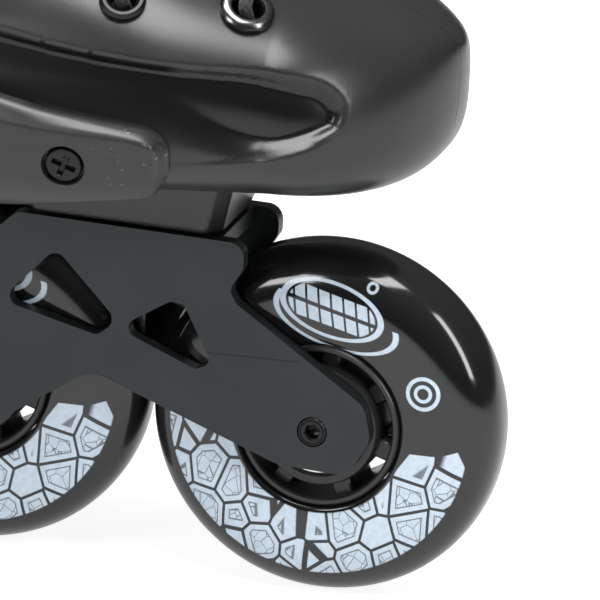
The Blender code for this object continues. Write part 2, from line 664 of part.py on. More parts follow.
def lace_points():
    """The lace's route: up through a hole, over the throat's edge, across and under the other edge."""

    def hole(index, side, outset):
        place, angle = EYELETS[index]
        return boot_point(place, side * angle, outset)

    def beside(index, side, share, outset, ahead=0.0):
        place, angle = EYELETS[index]
        return boot_point(place + ahead, side * angle * share, outset)

    def rising(index, side):
        """From under the shell up through a hole and over the throat's edge."""
        place = EYELETS[index][0]
        return [
            beside(index, side, 0.80, -LACE_UNDER), beside(index, side, 0.93, -LACE_UNDER - 0.2),
            hole(index, side, -5.0), hole(index, side, -1.5), hole(index, side, 1.2),
            beside(index, side, 0.92, 2.4), boot_point(place, side * (throat_angle(place) - 0.03), 2.1),
        ]

    def half_route(side, height):
        points = rising(0, side)
        for index in range(1, len(EYELETS)):
            points.append(beside(index, side, 0.36, height - 0.6, -0.62))
            side = -side
            points.append(beside(index, side, 0.10, height - 1.4, -0.42))
            points.append(beside(index, side, 0.54, -4.7, -0.18))
            points += rising(index, side)
        return points

    first = half_route(1, -1.9)
    second = half_route(-1, 1.6)
    loose = [(4.10, 0.90, 2.2), (4.5, 1.02, 2.2), (5.0, 1.06, 2.2)]
    ends = [[boot_point(place, side * angle, lift) for place, angle, lift in loose] for side in (1, -1)]
    return [*reversed([*first, *ends[0]]), boot_point(EYELETS[0][0], 0.3, -LACE_UNDER),
            boot_point(EYELETS[0][0], -0.3, -LACE_UNDER), *second, *ends[1]]


def build_lace(root):
    """The lace as a round cord along its whole route."""
    curve = bpy.data.curves.new("lace", "CURVE")
    curve.dimensions = "3D"
    curve.bevel_depth = LACE_RADIUS * MM
    curve.bevel_resolution = 1
    curve.use_fill_caps = True
    line = curve.splines.new("POLY")
    points = lace_points()
    line.points.add(len(points) - 1)
    for target, point in zip(line.points, points):
        target.co = (*(point * MM), 1.0)
    curve.materials.append(material("lace_cord"))
    obj = bpy.data.objects.new("lace", curve)
    bpy.context.scene.collection.objects.link(obj)
    obj.parent = root


def surface_frame(place, angle, outset):
    """Point and outward direction of the boot's form."""
    here = boot_point(place, angle, outset)
    along = boot_point(place + 0.05, angle, outset) - boot_point(place - 0.05, angle, outset)
    across = boot_point(place, angle + 0.03, outset) - boot_point(place, angle - 0.03, outset)
    out = along.cross(across).normalized()
    return here, out if out.dot(boot_point(place, angle, outset + 2) - here) > 0 else -out


def build_side_slider(root):
    """The replaceable guard screwed to the outer side of the forefoot."""
    rows = []
    thick = 4.6
    for place, low_angle, high_angle in (
        (0.79, 1.82, 2.04), (0.83, 1.73, 2.11), (0.95, 1.60, 2.18), (1.35, 1.55, 2.26), (2.1, 1.49, 2.34),
        (3.0, 1.48, 2.36), (3.5, 1.56, 2.30), (3.62, 1.70, 2.18),
    ):
        angles = [low_angle + (high_angle - low_angle) * k / 5 for k in range(6)]
        top = [boot_point(place, a, thick - (1.6 if k in (0, 5) else 0.0)) for k, a in enumerate(angles)]
        low = [boot_point(place, a, 0.8) for a in reversed(angles)]
        rows.append([*top, *low])
    slider = make_object("side_slider", loft(rows), "slider_plastic", root)
    drills = bmesh.new()
    screws = []
    for label, place in (("front", 1.54), ("rear", 3.0)):
        seat, out = surface_frame(place, 1.92, 2.4)
        seat_cut = rod([(2.2, -4.0), (2.2, 0.0), (4.8, 0.0), (4.8, 9.0)], Vector((0, 0, 0)), 20)
        join_into(drills, place_rod(seat_cut, seat, out))
        head = rod([(1.8, -1.5), (1.8, 0.3), (4.3, 0.3), (4.3, 1.5), (3.2, 2.3)], Vector((0, 0, 0)), 18)
        screws.append((label, place_rod(head, seat, out)))
    boolean(slider, make_cutter("slider_seats", drills, root), "DIFFERENCE")
    for label, bm in screws:
        make_object(f"side_slider_screw_{label}", bm, "black_steel", root)


# ---- Cuff ---------------------------------------------------------------------------------------


def cuff_point(place, angle, outset=0.0):
    """Point of the cuff's inner face, moved outwards by outset."""
    return section_point(spline(CUFF_SECTIONS, place), angle, outset)


def build_cuff(root):
    """The hinged cuff and its two pivot bolts. Returns the empty on the hinge that carries it."""
    hinge = bpy.data.objects.new("cuff_hinge", None)
    bpy.context.scene.collection.objects.link(hinge)
    hinge.parent = root
    hinge.location = CUFF_PIVOT * MM
    bm = bmesh.new()
    across = 26
    rows = []
    for step in range(13):
        place = 5.0 * step / 12
        start = spline([(a,) for a in CUFF_OPENING], place)[0]
        rows.append([
            cuff_point(place, start + (math.tau - 2 * start) * k / across, CUFF_WALL) - CUFF_PIVOT
            for k in range(across + 1)
        ])
    add_grid(bm, rows)
    cuff = make_object("cuff", bm, "shell_plastic", hinge)
    wall = cuff.modifiers.new("Wall", "SOLIDIFY")
    wall.thickness = CUFF_WALL * MM
    wall.offset = -1.0
    drills = rod([(PIVOT_BOLT_RADIUS + TOUCH_GAP, -70.0), (PIVOT_BOLT_RADIUS + TOUCH_GAP, 70.0)],
                 Vector((0, 0, 0)), 20)
    boolean(cuff, make_cutter("cuff_bores", drills, hinge), "DIFFERENCE")
    for side, label in ((-1, "outer_side"), (1, "inner_side")):
        face = 42.0 if side < 0 else 41.5
        steps = [(PIVOT_BOLT_RADIUS, side * 36.4), (PIVOT_BOLT_RADIUS, side * (face + CUFF_WALL + 0.5)),
                 (8.0, side * (face + CUFF_WALL + 0.5)), (7.0, side * (face + CUFF_WALL + 3.0))]
        make_object(f"cuff_pivot_bolt_{label}", rod(steps, CUFF_PIVOT, 20), "black_steel", root)
    return hinge


# ---- Straps and buckles -------------------------------------------------------------------------


def buckle_shapes():
    """Side views in (along, out) of the lever and of the release tab, which sit over the ladder."""
    lever = rounded([(-4, 5.9, 0), (5, 5.7, 0), (12, 7.4, 2.0), (27, 11.0, 0), (27, 13.4, 1.0), (14, 12.2, 4.0),
                     (3, 11.4, 2.0), (-4, 9.6, 1.5)], steps=2)
    tab = rounded([(-20, 6.4, 0), (-7, 5.9, 0), (-6, 9.0, 1.0), (-13, 9.6, 2.0), (-20, 12.0, 0.6)], steps=2)
    return lever, tab


def build_buckle(prefix, frames, middle, carrier, carrier_pivot, pivots):
    """Base, lever and release tab of a ratchet buckle at frames[middle] of a strap's path."""
    channel = [(-12.6, -2.4), (12.6, -2.4), (12.6, 9.0), (10.9, 9.0), (10.9, -0.4), (-10.9, -0.4), (-10.9, 9.0),
               (-12.6, 9.0)]
    base = swept(frames[middle - 4:middle + 5], channel)
    bmesh.ops.translate(base, vec=-carrier_pivot, verts=base.verts)
    make_object(f"{prefix}_buckle_base", base, "strap_plastic", carrier)
    here, side, out = frames[middle]
    ahead = out.cross(side).normalized()
    lever, tab = buckle_shapes()
    for label, outline, (along, height) in (("lever", lever, (-1.0, 7.8)), ("release_tab", tab, (-10.0, 7.6))):
        pivot = here + ahead * along + out * height
        empty = bpy.data.objects.new(f"{prefix}_{label}_hinge", None)
        bpy.context.scene.collection.objects.link(empty)
        empty.parent = carrier
        empty.location = (pivot - carrier_pivot) * MM
        rows = [[here + ahead * u + out * w + side * v - pivot for u, w in outline] for v in (-9.6, 9.6)]
        make_object(f"{prefix}_{label}", loft(rows), "strap_plastic", empty)
        pivots[f"{prefix}_{label}"] = (pivot, side)


def build_cuff_strap(hinge, pivots):
    """The cuff's ladder strap, which crosses the shin, and its buckle on the outer side."""

    def point_at(angle, rise, outset):
        return cuff_point(3.55 + rise / 34.0, angle, outset)

    ladder = [(-10.0, 0.0), (10.0, 0.0), (10.0, 2.4), (-10.0, 2.4)]
    angles = [1.55 - 0.075 * k for k in range(42)]
    frames = strip_frames(point_at, angles, CUFF_WALL + 3.0)
    strap = swept(frames, ladder)
    bmesh.ops.translate(strap, vec=-CUFF_PIVOT, verts=strap.verts)
    make_object("cuff_ladder_strap", strap, "strap_plastic", hinge)
    build_buckle("cuff", frames, 7, hinge, CUFF_PIVOT, pivots)


INSTEP_SECTION = (-104.0, 90.0, 0.0, 206.0, 0.52, 49.0, 48.5, 2.5, 2.4, 0.0)


def build_instep_strap(root, pivots):
    """The slanting strap over the instep: a wide pad from the inner side and a ladder into the buckle."""
    up = Vector((INSTEP_SECTION[2] - INSTEP_SECTION[0], 0, INSTEP_SECTION[3] - INSTEP_SECTION[1])).normalized()
    rise_way = Vector((-up.z, 0, up.x))

    def point_at(angle, rise, outset):
        return section_point(INSTEP_SECTION, angle, outset) + rise_way * rise

    angles = [1.75 - 0.07 * k for k in range(51)]
    frames = strip_frames(point_at, angles, 0.0)
    ladder = [(-10.0, 0.0), (10.0, 0.0), (10.0, 2.4), (-10.0, 2.4)]
    pad = [(-15.0, -4.4), (15.0, -4.4), (16.0, -2.4), (13.0, -0.4), (-13.0, -0.4), (-16.0, -2.4)]
    make_object("instep_pad", swept(frames[17:51:3], pad), "strap_plastic", root)
    make_object("instep_ladder_strap", swept(frames[2:34], ladder), "strap_plastic", root)
    build_buckle("instep", frames, 10, root, Vector((0, 0, 0)), pivots)
    for label, index in (("outer_side", 1), ("inner_side", 49)):
        here, side, out = frames[index]
        rivet = place_rod(rod([(4.0, 0.0), (4.0, 2.0), (6.5, 2.0), (5.5, 3.6)], Vector((0, 0, 0)), 16),
                          here + out * (0.2 if label == "inner_side" else 2.8), out)
        make_object(f"instep_anchor_{label}", rivet, "black_steel", root)


def build_skate():
    """Everything, carried by one empty. Returns the buckle pivots for a reader who needs them."""
    root = bpy.data.objects.new("skate", None)
    bpy.context.scene.collection.objects.link(root)
    root.location = ORIGIN_SHIFT * MM
    for index, x in enumerate(WHEEL_X):
        build_wheel(index + 1, x, root)
    build_frame(root)
    build_mount_bolt("front_mount", FRONT_MOUNT_X, FRONT_DECK_TOP, 97.5, root)
    build_mount_bolt("rear_mount", REAR_MOUNT_X, REAR_DECK_TOP, 101.0, root)
    build_shell(root)
    build_side_slider(root)
    build_liner(root)
    build_tongue(root)
    build_footbed(root)
    build_lace(root)
    pivots = {}
    hinge = build_cuff(root)
    build_cuff_strap(hinge, pivots)
    build_instep_strap(root, pivots)
    return pivots


clear_scene()
build_skate()
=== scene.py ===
"""An inline skate for the right foot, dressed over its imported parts.

Shapes are worked out in millimetres, with +X to the toe, +Y to the inner side of the foot, +Z up, the
wheels in the plane y = 0 and the floor at z = 0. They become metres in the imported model's frame as each
mesh is made.
"""

from __future__ import annotations

import logging
import math
from dataclasses import dataclass, field
from enum import Enum
from functools import partialmethod
from typing import Any, Callable, Iterable, Sequence

import bmesh
import bpy
import numpy as np
from mathutils import Matrix, Vector

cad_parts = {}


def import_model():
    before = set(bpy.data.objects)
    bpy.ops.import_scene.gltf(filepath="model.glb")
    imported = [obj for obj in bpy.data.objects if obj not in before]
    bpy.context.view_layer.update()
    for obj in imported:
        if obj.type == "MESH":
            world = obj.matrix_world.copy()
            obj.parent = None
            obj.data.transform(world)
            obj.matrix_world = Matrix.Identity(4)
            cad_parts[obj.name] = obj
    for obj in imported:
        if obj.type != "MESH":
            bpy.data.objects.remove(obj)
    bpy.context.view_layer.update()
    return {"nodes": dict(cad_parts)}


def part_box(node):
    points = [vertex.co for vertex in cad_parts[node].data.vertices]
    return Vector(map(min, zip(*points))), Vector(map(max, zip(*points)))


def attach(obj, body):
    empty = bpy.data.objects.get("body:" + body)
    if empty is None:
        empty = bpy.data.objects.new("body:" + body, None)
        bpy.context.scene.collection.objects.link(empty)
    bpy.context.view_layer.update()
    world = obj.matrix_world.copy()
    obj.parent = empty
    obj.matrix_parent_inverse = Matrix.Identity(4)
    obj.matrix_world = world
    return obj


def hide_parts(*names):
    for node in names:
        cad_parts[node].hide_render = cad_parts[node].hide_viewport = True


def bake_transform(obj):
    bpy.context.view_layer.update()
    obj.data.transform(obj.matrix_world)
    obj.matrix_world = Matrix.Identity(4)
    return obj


LOG = logging.getLogger("skate")
MM = 0.001
Pair = tuple[float, float]
Colour = tuple[float, float, float]
Outline = list[Pair]


# ---- Shader and geometry trees -------------------------------------------------------------------


class Value:
    """A shader socket that takes part in Python expressions."""

    def __init__(self, tree: "ShaderTree", socket: bpy.types.NodeSocket) -> None:
        """Wraps a socket of a tree."""
        self.tree = tree
        self.socket = socket

    def maths(self, operation: str, *others: "Value | float", clamp: bool = False) -> "Value":
        """Applies a Math node.

        Args:
            operation: The Math node's operation.
            others: The second and third operands.
            clamp: Whether the result is held between 0 and 1.

        Returns:
            The node's result.
        """
        node = self.tree.node("ShaderNodeMath", {"operation": operation, "use_clamp": clamp}, self, *others)
        return Value(self.tree, node.outputs[0])

    __add__ = __radd__ = partialmethod(maths, "ADD")
    __mul__ = __rmul__ = partialmethod(maths, "MULTIPLY")
    __sub__ = partialmethod(maths, "SUBTRACT")
    __truediv__ = partialmethod(maths, "DIVIDE")
    __pow__ = partialmethod(maths, "POWER")
    __gt__ = partialmethod(maths, "GREATER_THAN")
    __lt__ = partialmethod(maths, "LESS_THAN")

    def __rsub__(self, other: float) -> "Value":
        """Difference, the other way round."""
        return self.maths("MULTIPLY", -1.0).maths("ADD", other)

    def __abs__(self) -> "Value":
        """Size without sign."""
        return self.maths("ABSOLUTE")

    def ramp(self, low: float, high: float) -> "Value":
        """Rises smoothly from 0 at low to 1 at high, or falls where low is the greater."""
        falls = low > high
        ends = (high, low) if falls else (low, high)
        node = self.tree.node("ShaderNodeMapRange", {"interpolation_type": "SMOOTHSTEP"}, self, *ends)
        rising = Value(self.tree, node.outputs[0])
        return 1.0 - rising if falls else rising


class ShaderTree:
    """A material's node tree with one Principled shader."""

    def __init__(self, name: str) -> None:
        """Makes the material, empty but for its shader and output."""
        self.material = bpy.data.materials.new(name)
        self.material.use_nodes = True
        self.tree = self.material.node_tree
        self.shader = self.tree.nodes["Principled BSDF"]

    def node(
        self, kind: str, settings: dict[str, Any] | None = None, *inputs: Any, **named: Any
    ) -> bpy.types.Node:
        """Adds a node.

        Args:
            kind: The node's type.
            settings: Its properties.
            inputs: Values or links of its first sockets; None leaves a socket alone.
            named: Values or links by socket name, with spaces written as underscores.

        Returns:
            The node.
        """
        made = self.tree.nodes.new(kind)
        for key, setting in (settings or {}).items():
            setattr(made, key, setting)
        sockets = list(zip(made.inputs, inputs))
        sockets += [(made.inputs[key.replace("_", " ")], value) for key, value in named.items()]
        for socket, value in sockets:
            self.put(socket, value)
        return made

    def put(self, socket: bpy.types.NodeSocket, value: Any) -> None:
        """Links or sets one socket."""
        if value is None:
            return
        if isinstance(value, Value):
            self.tree.links.new(value.socket, socket)
        elif isinstance(value, bpy.types.NodeSocket):
            self.tree.links.new(value, socket)
        elif socket.type == "RGBA" and len(value) == 3:
            socket.default_value = (*value, 1.0)
        else:
            socket.default_value = value

    def coordinates(self, attribute: str = "") -> tuple[bpy.types.NodeSocket, Value, Value, Value]:
        """Object coordinates, or a stored vector attribute, in millimetres.

        Args:
            attribute: The attribute's name, or nothing for Object coordinates.

        Returns:
            The vector and its three parts.
        """
        if attribute:
            source = self.node("ShaderNodeAttribute", {"attribute_name": attribute}).outputs["Vector"]
        else:
            source = self.node("ShaderNodeTexCoord").outputs["Object"]
        scaled = self.node("ShaderNodeVectorMath", {"operation": "SCALE"}, source, Scale=1000.0).outputs[0]
        parts = self.node("ShaderNodeSeparateXYZ", None, scaled).outputs
        return scaled, Value(self, parts[0]), Value(self, parts[1]), Value(self, parts[2])

    def noise(self, vector: Any, scale: float, detail: float = 2.0, rough: float = 0.5) -> Value:
        """A noise value from 0 to 1 at a scale per millimetre."""
        node = self.node("ShaderNodeTexNoise", None, vector, Scale=scale, Detail=detail, Roughness=rough)
        return Value(self, node.outputs["Fac"])

    def stretch(self, vector: Any, scale: Colour) -> bpy.types.NodeSocket:
        """Coordinates scaled by axis."""
        return self.node("ShaderNodeMapping", None, vector, Scale=scale).outputs[0]

    def shade(self, factor: Value, colour: Colour, first: float, second: float) -> bpy.types.NodeSocket:
        """Blends two strengths of one colour."""
        tones = [tuple(min(part * strength, 1.0) for part in colour) for strength in (first, second)]
        return self.mix(factor, *tones)

    def mix(self, factor: Value | float, first: Any, second: Any) -> bpy.types.NodeSocket:
        """Blends two colours."""
        node = self.node("ShaderNodeMix", {"data_type": "RGBA"})
        self.put(node.inputs[0], factor)
        self.put(node.inputs[6], first)
        self.put(node.inputs[7], second)
        return node.outputs[2]

    def bump(self, height: Value, depth: float, strength: float = 1.0) -> None:
        """Feeds the shader's normal from a height of 0 to 1, depth in millimetres."""
        made = self.node("ShaderNodeBump", None, Strength=strength, Distance=depth * MM, Height=height)
        self.tree.links.new(made.outputs[0], self.shader.inputs["Normal"])

    def finish(self, **sockets: Any) -> bpy.types.Material:
        """Sets the Principled shader's sockets and returns the material."""
        for key, value in sockets.items():
            self.put(self.shader.inputs[key.replace("_", " ")], value)
        return self.material


class RepeatTree:
    """A geometry tree that puts one small shape on each point of a mesh and realizes the copies."""

    def __init__(self, name: str) -> None:
        """Builds the tree: the points carry their turn as the attribute "turn"."""
        self.group = bpy.data.node_groups.new(name, "GeometryNodeTree")
        face = self.group.interface
        face.new_socket("Geometry", in_out="INPUT", socket_type="NodeSocketGeometry")
        kinds = {"Shape": "Object", "Scale": "Float", "Vary": "Float", "Finish": "Material"}
        self.shape, self.scale, self.vary, self.finish = (
            face.new_socket(label, in_out="INPUT", socket_type=f"NodeSocket{kind}").identifier
            for label, kind in kinds.items()
        )
        face.new_socket("Geometry", in_out="OUTPUT", socket_type="NodeSocketGeometry")
        nodes, links = self.group.nodes, self.group.links
        entry, leave, shape, turn, chance, sizes, lowest, place_on, real, paint = (
            nodes.new(kind) for kind in (
                "NodeGroupInput", "NodeGroupOutput", "GeometryNodeObjectInfo",
                "GeometryNodeInputNamedAttribute", "FunctionNodeRandomValue", "ShaderNodeMath",
                "ShaderNodeMath", "GeometryNodeInstanceOnPoints", "GeometryNodeRealizeInstances",
                "GeometryNodeSetMaterial",
            )
        )
        turn.data_type, chance.data_type = "FLOAT_VECTOR", "FLOAT"
        sizes.operation, lowest.operation = "MULTIPLY", "SUBTRACT"
        turn.inputs["Name"].default_value = "turn"
        chance.inputs["Seed"].default_value = 7
        lowest.inputs[0].default_value = chance.inputs[3].default_value = 1.0
        for source, output, target, entrance in (
            (entry, "Geometry", place_on, "Points"), (entry, "Shape", shape, "Object"),
            (shape, "Geometry", place_on, "Instance"), (turn, "Attribute", place_on, "Rotation"),
            (entry, "Vary", lowest, 1), (lowest, 0, chance, 2), (chance, 1, sizes, 0),
            (entry, "Scale", sizes, 1), (sizes, 0, place_on, "Scale"),
            (place_on, "Instances", real, "Geometry"), (real, "Geometry", paint, "Geometry"),
            (entry, "Finish", paint, "Material"), (paint, "Geometry", leave, 0),
        ):
            links.new(source.outputs[output], target.inputs[entrance])

    def scatter(
        self,
        name: str,
        places: Sequence[Matrix],
        shape: bpy.types.Object,
        finish: bpy.types.Material,
        vary: float = 0.0,
    ) -> bpy.types.Object:
        """Puts the shape at each place.

        Args:
            name: The new piece's name.
            places: Where each copy stands and how it is turned, in millimetres of the skate's own frame.
            shape: A small helper object, made in metres round the origin.
            finish: The copies' material.
            vary: How much smaller a copy may be, as a share.

        Returns:
            One plain mesh object that holds all the copies.
        """
        mesh = bpy.data.meshes.new(name)
        mesh.from_pydata([to_metres(place.translation) for place in places], [], [])
        turns = mesh.attributes.new("turn", "FLOAT_VECTOR", "POINT")
        for item, place in zip(turns.data, places):
            item.vector = place.to_3x3().normalized().to_euler()
        host = link(name, mesh)
        modifier = host.modifiers.new("Repeat", "NODES")
        modifier.node_group = self.group
        modifier[self.shape] = shape
        modifier[self.scale] = 1.0
        modifier[self.vary] = vary
        modifier[self.finish] = finish
        return apply_modifiers(host)


# ---- Mesh making ---------------------------------------------------------------------------------


def link(name: str, mesh: bpy.types.Mesh) -> bpy.types.Object:
    """Links a mesh to the scene as a new object."""
    made = bpy.data.objects.new(name, mesh)
    bpy.context.scene.collection.objects.link(made)
    return made


def to_metres(point: Vector) -> Vector:
    """A point of the skate's own frame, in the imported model's frame."""
    return (Vector(point) + Vector((0.0, Skate.side_shift, 0.0))) * MM


def apply_modifiers(piece: bpy.types.Object) -> bpy.types.Object:
    """Bakes a piece's modifiers into a plain mesh."""
    graph = bpy.context.evaluated_depsgraph_get()
    baked = bpy.data.meshes.new_from_object(piece.evaluated_get(graph), depsgraph=graph)
    old = piece.data
    piece.modifiers.clear()
    piece.data = baked
    baked.name = piece.name
    bpy.data.meshes.remove(old)
    return piece


def drop(piece: bpy.types.Object) -> None:
    """Removes a helper."""
    bpy.data.objects.remove(piece, do_unlink=True)


def mesh_object(
    name: str,
    bm: bmesh.types.BMesh,
    finish: bpy.types.Material | None = None,
    sharp: float = 40.0,
    merge: float = 0.0004,
) -> bpy.types.Object:
    """Makes a closed bmesh in millimetres a piece, with outward faces.

    Args:
        name: The piece's name.
        bm: The mesh, which is freed.
        finish: Its material.
        sharp: Edges sharper than this many degrees stay crisp.
        merge: Points closer than this many millimetres become one.

    Returns:
        The piece, with its object at the origin.
    """
    bmesh.ops.remove_doubles(bm, verts=bm.verts, dist=merge)
    bmesh.ops.translate(bm, vec=(0.0, Skate.side_shift, 0.0), verts=bm.verts)
    made = smooth_object(name, bm, sharp)
    if finish:
        made.data.materials.append(finish)
    return made


def smooth_object(name: str, bm: bmesh.types.BMesh, sharp: float = 40.0) -> bpy.types.Object:
    """Turns a bmesh in millimetres into an object in metres, smooth but for its sharp edges."""
    bmesh.ops.recalc_face_normals(bm, faces=bm.faces)
    bmesh.ops.scale(bm, vec=(MM, MM, MM), verts=bm.verts)
    mesh = bpy.data.meshes.new(name)
    bm.to_mesh(mesh)
    bm.free()
    mesh.shade_smooth()
    mesh.set_sharp_from_angle(angle=math.radians(sharp))
    return link(name, mesh)


def repeat(
    name: str,
    shape: bmesh.types.BMesh,
    places: Sequence[Matrix],
    finish: bpy.types.Material,
    vary: float = 0.0,
) -> bpy.types.Object:
    """One piece that holds a small shape at every place.

    Args:
        name: The piece's name.
        shape: The shape in millimetres round the origin.
        places: Where the copies stand.
        finish: Their material.
        vary: How much smaller a copy may be, as a share.

    Returns:
        The piece.
    """
    pattern = smooth_object("pattern", shape)
    made = RepeatTree(f"{name}_tree").scatter(name, places, pattern, finish, vary)
    drop(pattern)
    return made


def repaint(piece: bpy.types.Object, finish: bpy.types.Material) -> None:
    """Leaves a piece with one finish."""
    piece.data.materials.clear()
    piece.data.materials.append(finish)


def moved(bm: bmesh.types.BMesh, matrix: Matrix) -> bmesh.types.BMesh:
    """A bmesh, moved and turned."""
    bmesh.ops.transform(bm, matrix=matrix, verts=bm.verts)
    return bm


def bevel(piece: bpy.types.Object, width: float, segments: int = 2, angle: float = 30.0) -> bpy.types.Object:
    """Rounds a piece's sharp edges by width millimetres."""
    modifier = piece.modifiers.new("Edges", "BEVEL")
    modifier.width = width * MM
    modifier.segments = segments
    modifier.limit_method = "ANGLE"
    modifier.angle_limit = math.radians(angle)
    modifier.harden_normals = True
    return apply_modifiers(piece)


def cut(piece: bpy.types.Object, cutter: bpy.types.Object) -> bpy.types.Object:
    """Takes the cutter's shape away and drops the cutter."""
    modifier = piece.modifiers.new("Cut", "BOOLEAN")
    modifier.operation = "DIFFERENCE"
    modifier.object = cutter
    modifier.solver = "EXACT"
    apply_modifiers(piece)
    drop(cutter)
    return piece


def add_rows(bm: bmesh.types.BMesh, rows: Sequence[Sequence[Vector]]) -> list[list[bmesh.types.BMVert]]:
    """Adds faces between rings of points and returns their vertices."""
    made = [[bm.verts.new(point) for point in row] for row in rows]
    for first, second in zip(made, made[1:]):
        for k in range(len(first)):
            after = (k + 1) % len(first)
            bm.faces.new([first[k], first[after], second[after], second[k]])
    return made


def loft(rows: Sequence[Sequence[Vector]]) -> bmesh.types.BMesh:
    """A closed solid through rings of points."""
    bm = bmesh.new()
    made = add_rows(bm, rows)
    bm.faces.new(made[0])
    bm.faces.new(made[-1])
    return bm


def double_wall(
    outer: Sequence[Sequence[Vector]], inner: Sequence[Sequence[Vector]], keep: np.ndarray, joined: int = 0
) -> bmesh.types.BMesh:
    """A wall between two grids of the same size, closed round its edges and round every left-out cell.

    Args:
        outer: Rows of points on the outer face.
        inner: Rows of points on the inner face.
        keep: Which cells of the grid there are.
        joined: How many rows of cells run right round, from a first row that is one point.

    Returns:
        The wall.
    """
    bm = bmesh.new()
    faces = [[[bm.verts.new(point) for point in row] for row in grid] for grid in (outer, inner)]
    rows, columns = keep.shape
    for i, j in np.argwhere(keep):
        corners = [(i, j), (i, j + 1), (i + 1, j + 1), (i + 1, j)]
        for grid in faces:
            bm.faces.new([grid[a][b] for a, b in corners])
        sides = [(i - 1, j), (i, j + 1), (i + 1, j), (i, j - 1)]
        for k, (a, b) in enumerate(sides):
            if 0 <= a < rows and 0 <= b < columns and keep[a, b]:
                continue
            if i < joined and (a < 0 or not 0 <= b < columns):
                continue
            (p, q), (r, s) = corners[k], corners[(k + 1) % 4]
            bm.faces.new([faces[0][p][q], faces[0][r][s], faces[1][r][s], faces[1][p][q]])
    loose = [vert for vert in bm.verts if not vert.link_faces]
    bmesh.ops.delete(bm, geom=loose, context="VERTS")
    return bm


def prism(outline: Outline, low: float, high: float) -> bmesh.types.BMesh:
    """Extrudes an outline of (x, z) across y."""
    return loft([[Vector((x, y, z)) for x, z in outline] for y in (low, high)])


def rounded(corners: Sequence[tuple[float, float, float]], steps: int = 8) -> Outline:
    """Closed outline from corners (x, z, fillet radius)."""
    points: Outline = []
    for k, (x, z, radius) in enumerate(corners):
        here = Vector((x, z))
        before = (Vector(corners[k - 1][:2]) - here).normalized()
        after = (Vector(corners[(k + 1) % len(corners)][:2]) - here).normalized()
        if radius <= 0:
            points.append((x, z))
            continue
        half = before.angle(after) / 2
        centre = here + (before + after).normalized() * (radius / math.sin(half))
        reach = radius / math.tan(half)
        start = here + before * reach - centre
        turn = start.angle_signed(here + after * reach - centre)
        for step in range(steps + 1):
            arm = start.copy()
            arm.rotate(Matrix.Rotation(-turn * step / steps, 2))
            points.append((centre.x + arm.x, centre.y + arm.y))
    return points


def tube(profile: Sequence[Pair], segments: int) -> bmesh.types.BMesh:
    """A capped solid through rings of (radius, y) about the y axis."""
    angles = [math.tau * k / segments for k in range(segments)]
    return loft([[Vector((r * math.cos(a), y, r * math.sin(a))) for a in angles] for r, y in profile])


def turned(profile: Sequence[Pair], centre: Vector, segments: int) -> bmesh.types.BMesh:
    """Turns a closed profile of (radius, y) about the y direction through centre."""
    bm = bmesh.new()
    rows = []
    for step in range(segments + 1):
        angle = math.tau * step / segments
        rows.append([centre + Vector((r * math.cos(angle), y, r * math.sin(angle))) for r, y in profile])
    add_rows(bm, rows)
    bmesh.ops.remove_doubles(bm, verts=bm.verts, dist=0.0005)
    return bm


def facing(position: Vector, direction: Vector, twist: float = 0.0) -> Matrix:
    """A place whose own +Y runs along direction."""
    turn = Vector((0.0, 1.0, 0.0)).rotation_difference(direction).to_matrix().to_4x4()
    return Matrix.Translation(position) @ turn @ Matrix.Rotation(twist, 4, "Y")


def spline(values: Sequence[Sequence[float]], place: float) -> list[float]:
    """Catmull-Rom value of equal-length tuples at a fractional index."""
    last = len(values) - 1
    index = min(int(max(place, 0.0)), last - 1)
    t = min(max(place, 0.0), last) - index
    a, b, c, d = (values[min(max(index + k, 0), last)] for k in (-1, 0, 1, 2))
    return [
        0.5 * (2 * q + (r - p) * t + (2 * p - 5 * q + 4 * r - s) * t**2 + (3 * q - p - 3 * r + s) * t**3)
        for p, q, r, s in zip(a, b, c, d)
    ]


def smooth_step(low: float, high: float, value: float) -> float:
    """Rises smoothly from 0 at low to 1 at high."""
    t = min(max((value - low) / (high - low), 0.0), 1.0)
    return t * t * (3 - 2 * t)


def inside(outline: Sequence[Pair], x: float, z: float) -> bool:
    """Whether a point lies within a closed outline."""
    within = False
    for (ax, az), (bx, bz) in zip(outline, [*outline[1:], outline[0]]):
        if (az > z) != (bz > z) and x < ax + (z - az) / (bz - az) * (bx - ax):
            within = not within
    return within


def distance(run: Sequence[Pair], x: float, z: float) -> float:
    """Distance from a point to a run of straight steps."""
    nearest = math.inf
    for (ax, az), (bx, bz) in zip(run, run[1:]):
        dx, dz = bx - ax, bz - az
        share = min(max(((x - ax) * dx + (z - az) * dz) / (dx * dx + dz * dz), 0.0), 1.0)
        nearest = min(nearest, math.hypot(x - ax - share * dx, z - az - share * dz))
    return nearest


# ---- The skate's own measures --------------------------------------------------------------------


class Side(Enum):
    """Side of the foot, as the sign of y."""

    OUTER = -1
    INNER = 1


class Skate:
    """Measures that more than one sub-assembly needs."""

    side_shift: float = 0.0
    wheel_radius: float = 40.0
    wheel_x: tuple[float, ...] = (121.5, 40.5, -40.5, -121.5)
    frame_half: float = 16.0
    frame_inner_half: float = 12.3
    cuff_pivot: Vector = Vector((-74.0, 0.0, 186.0))


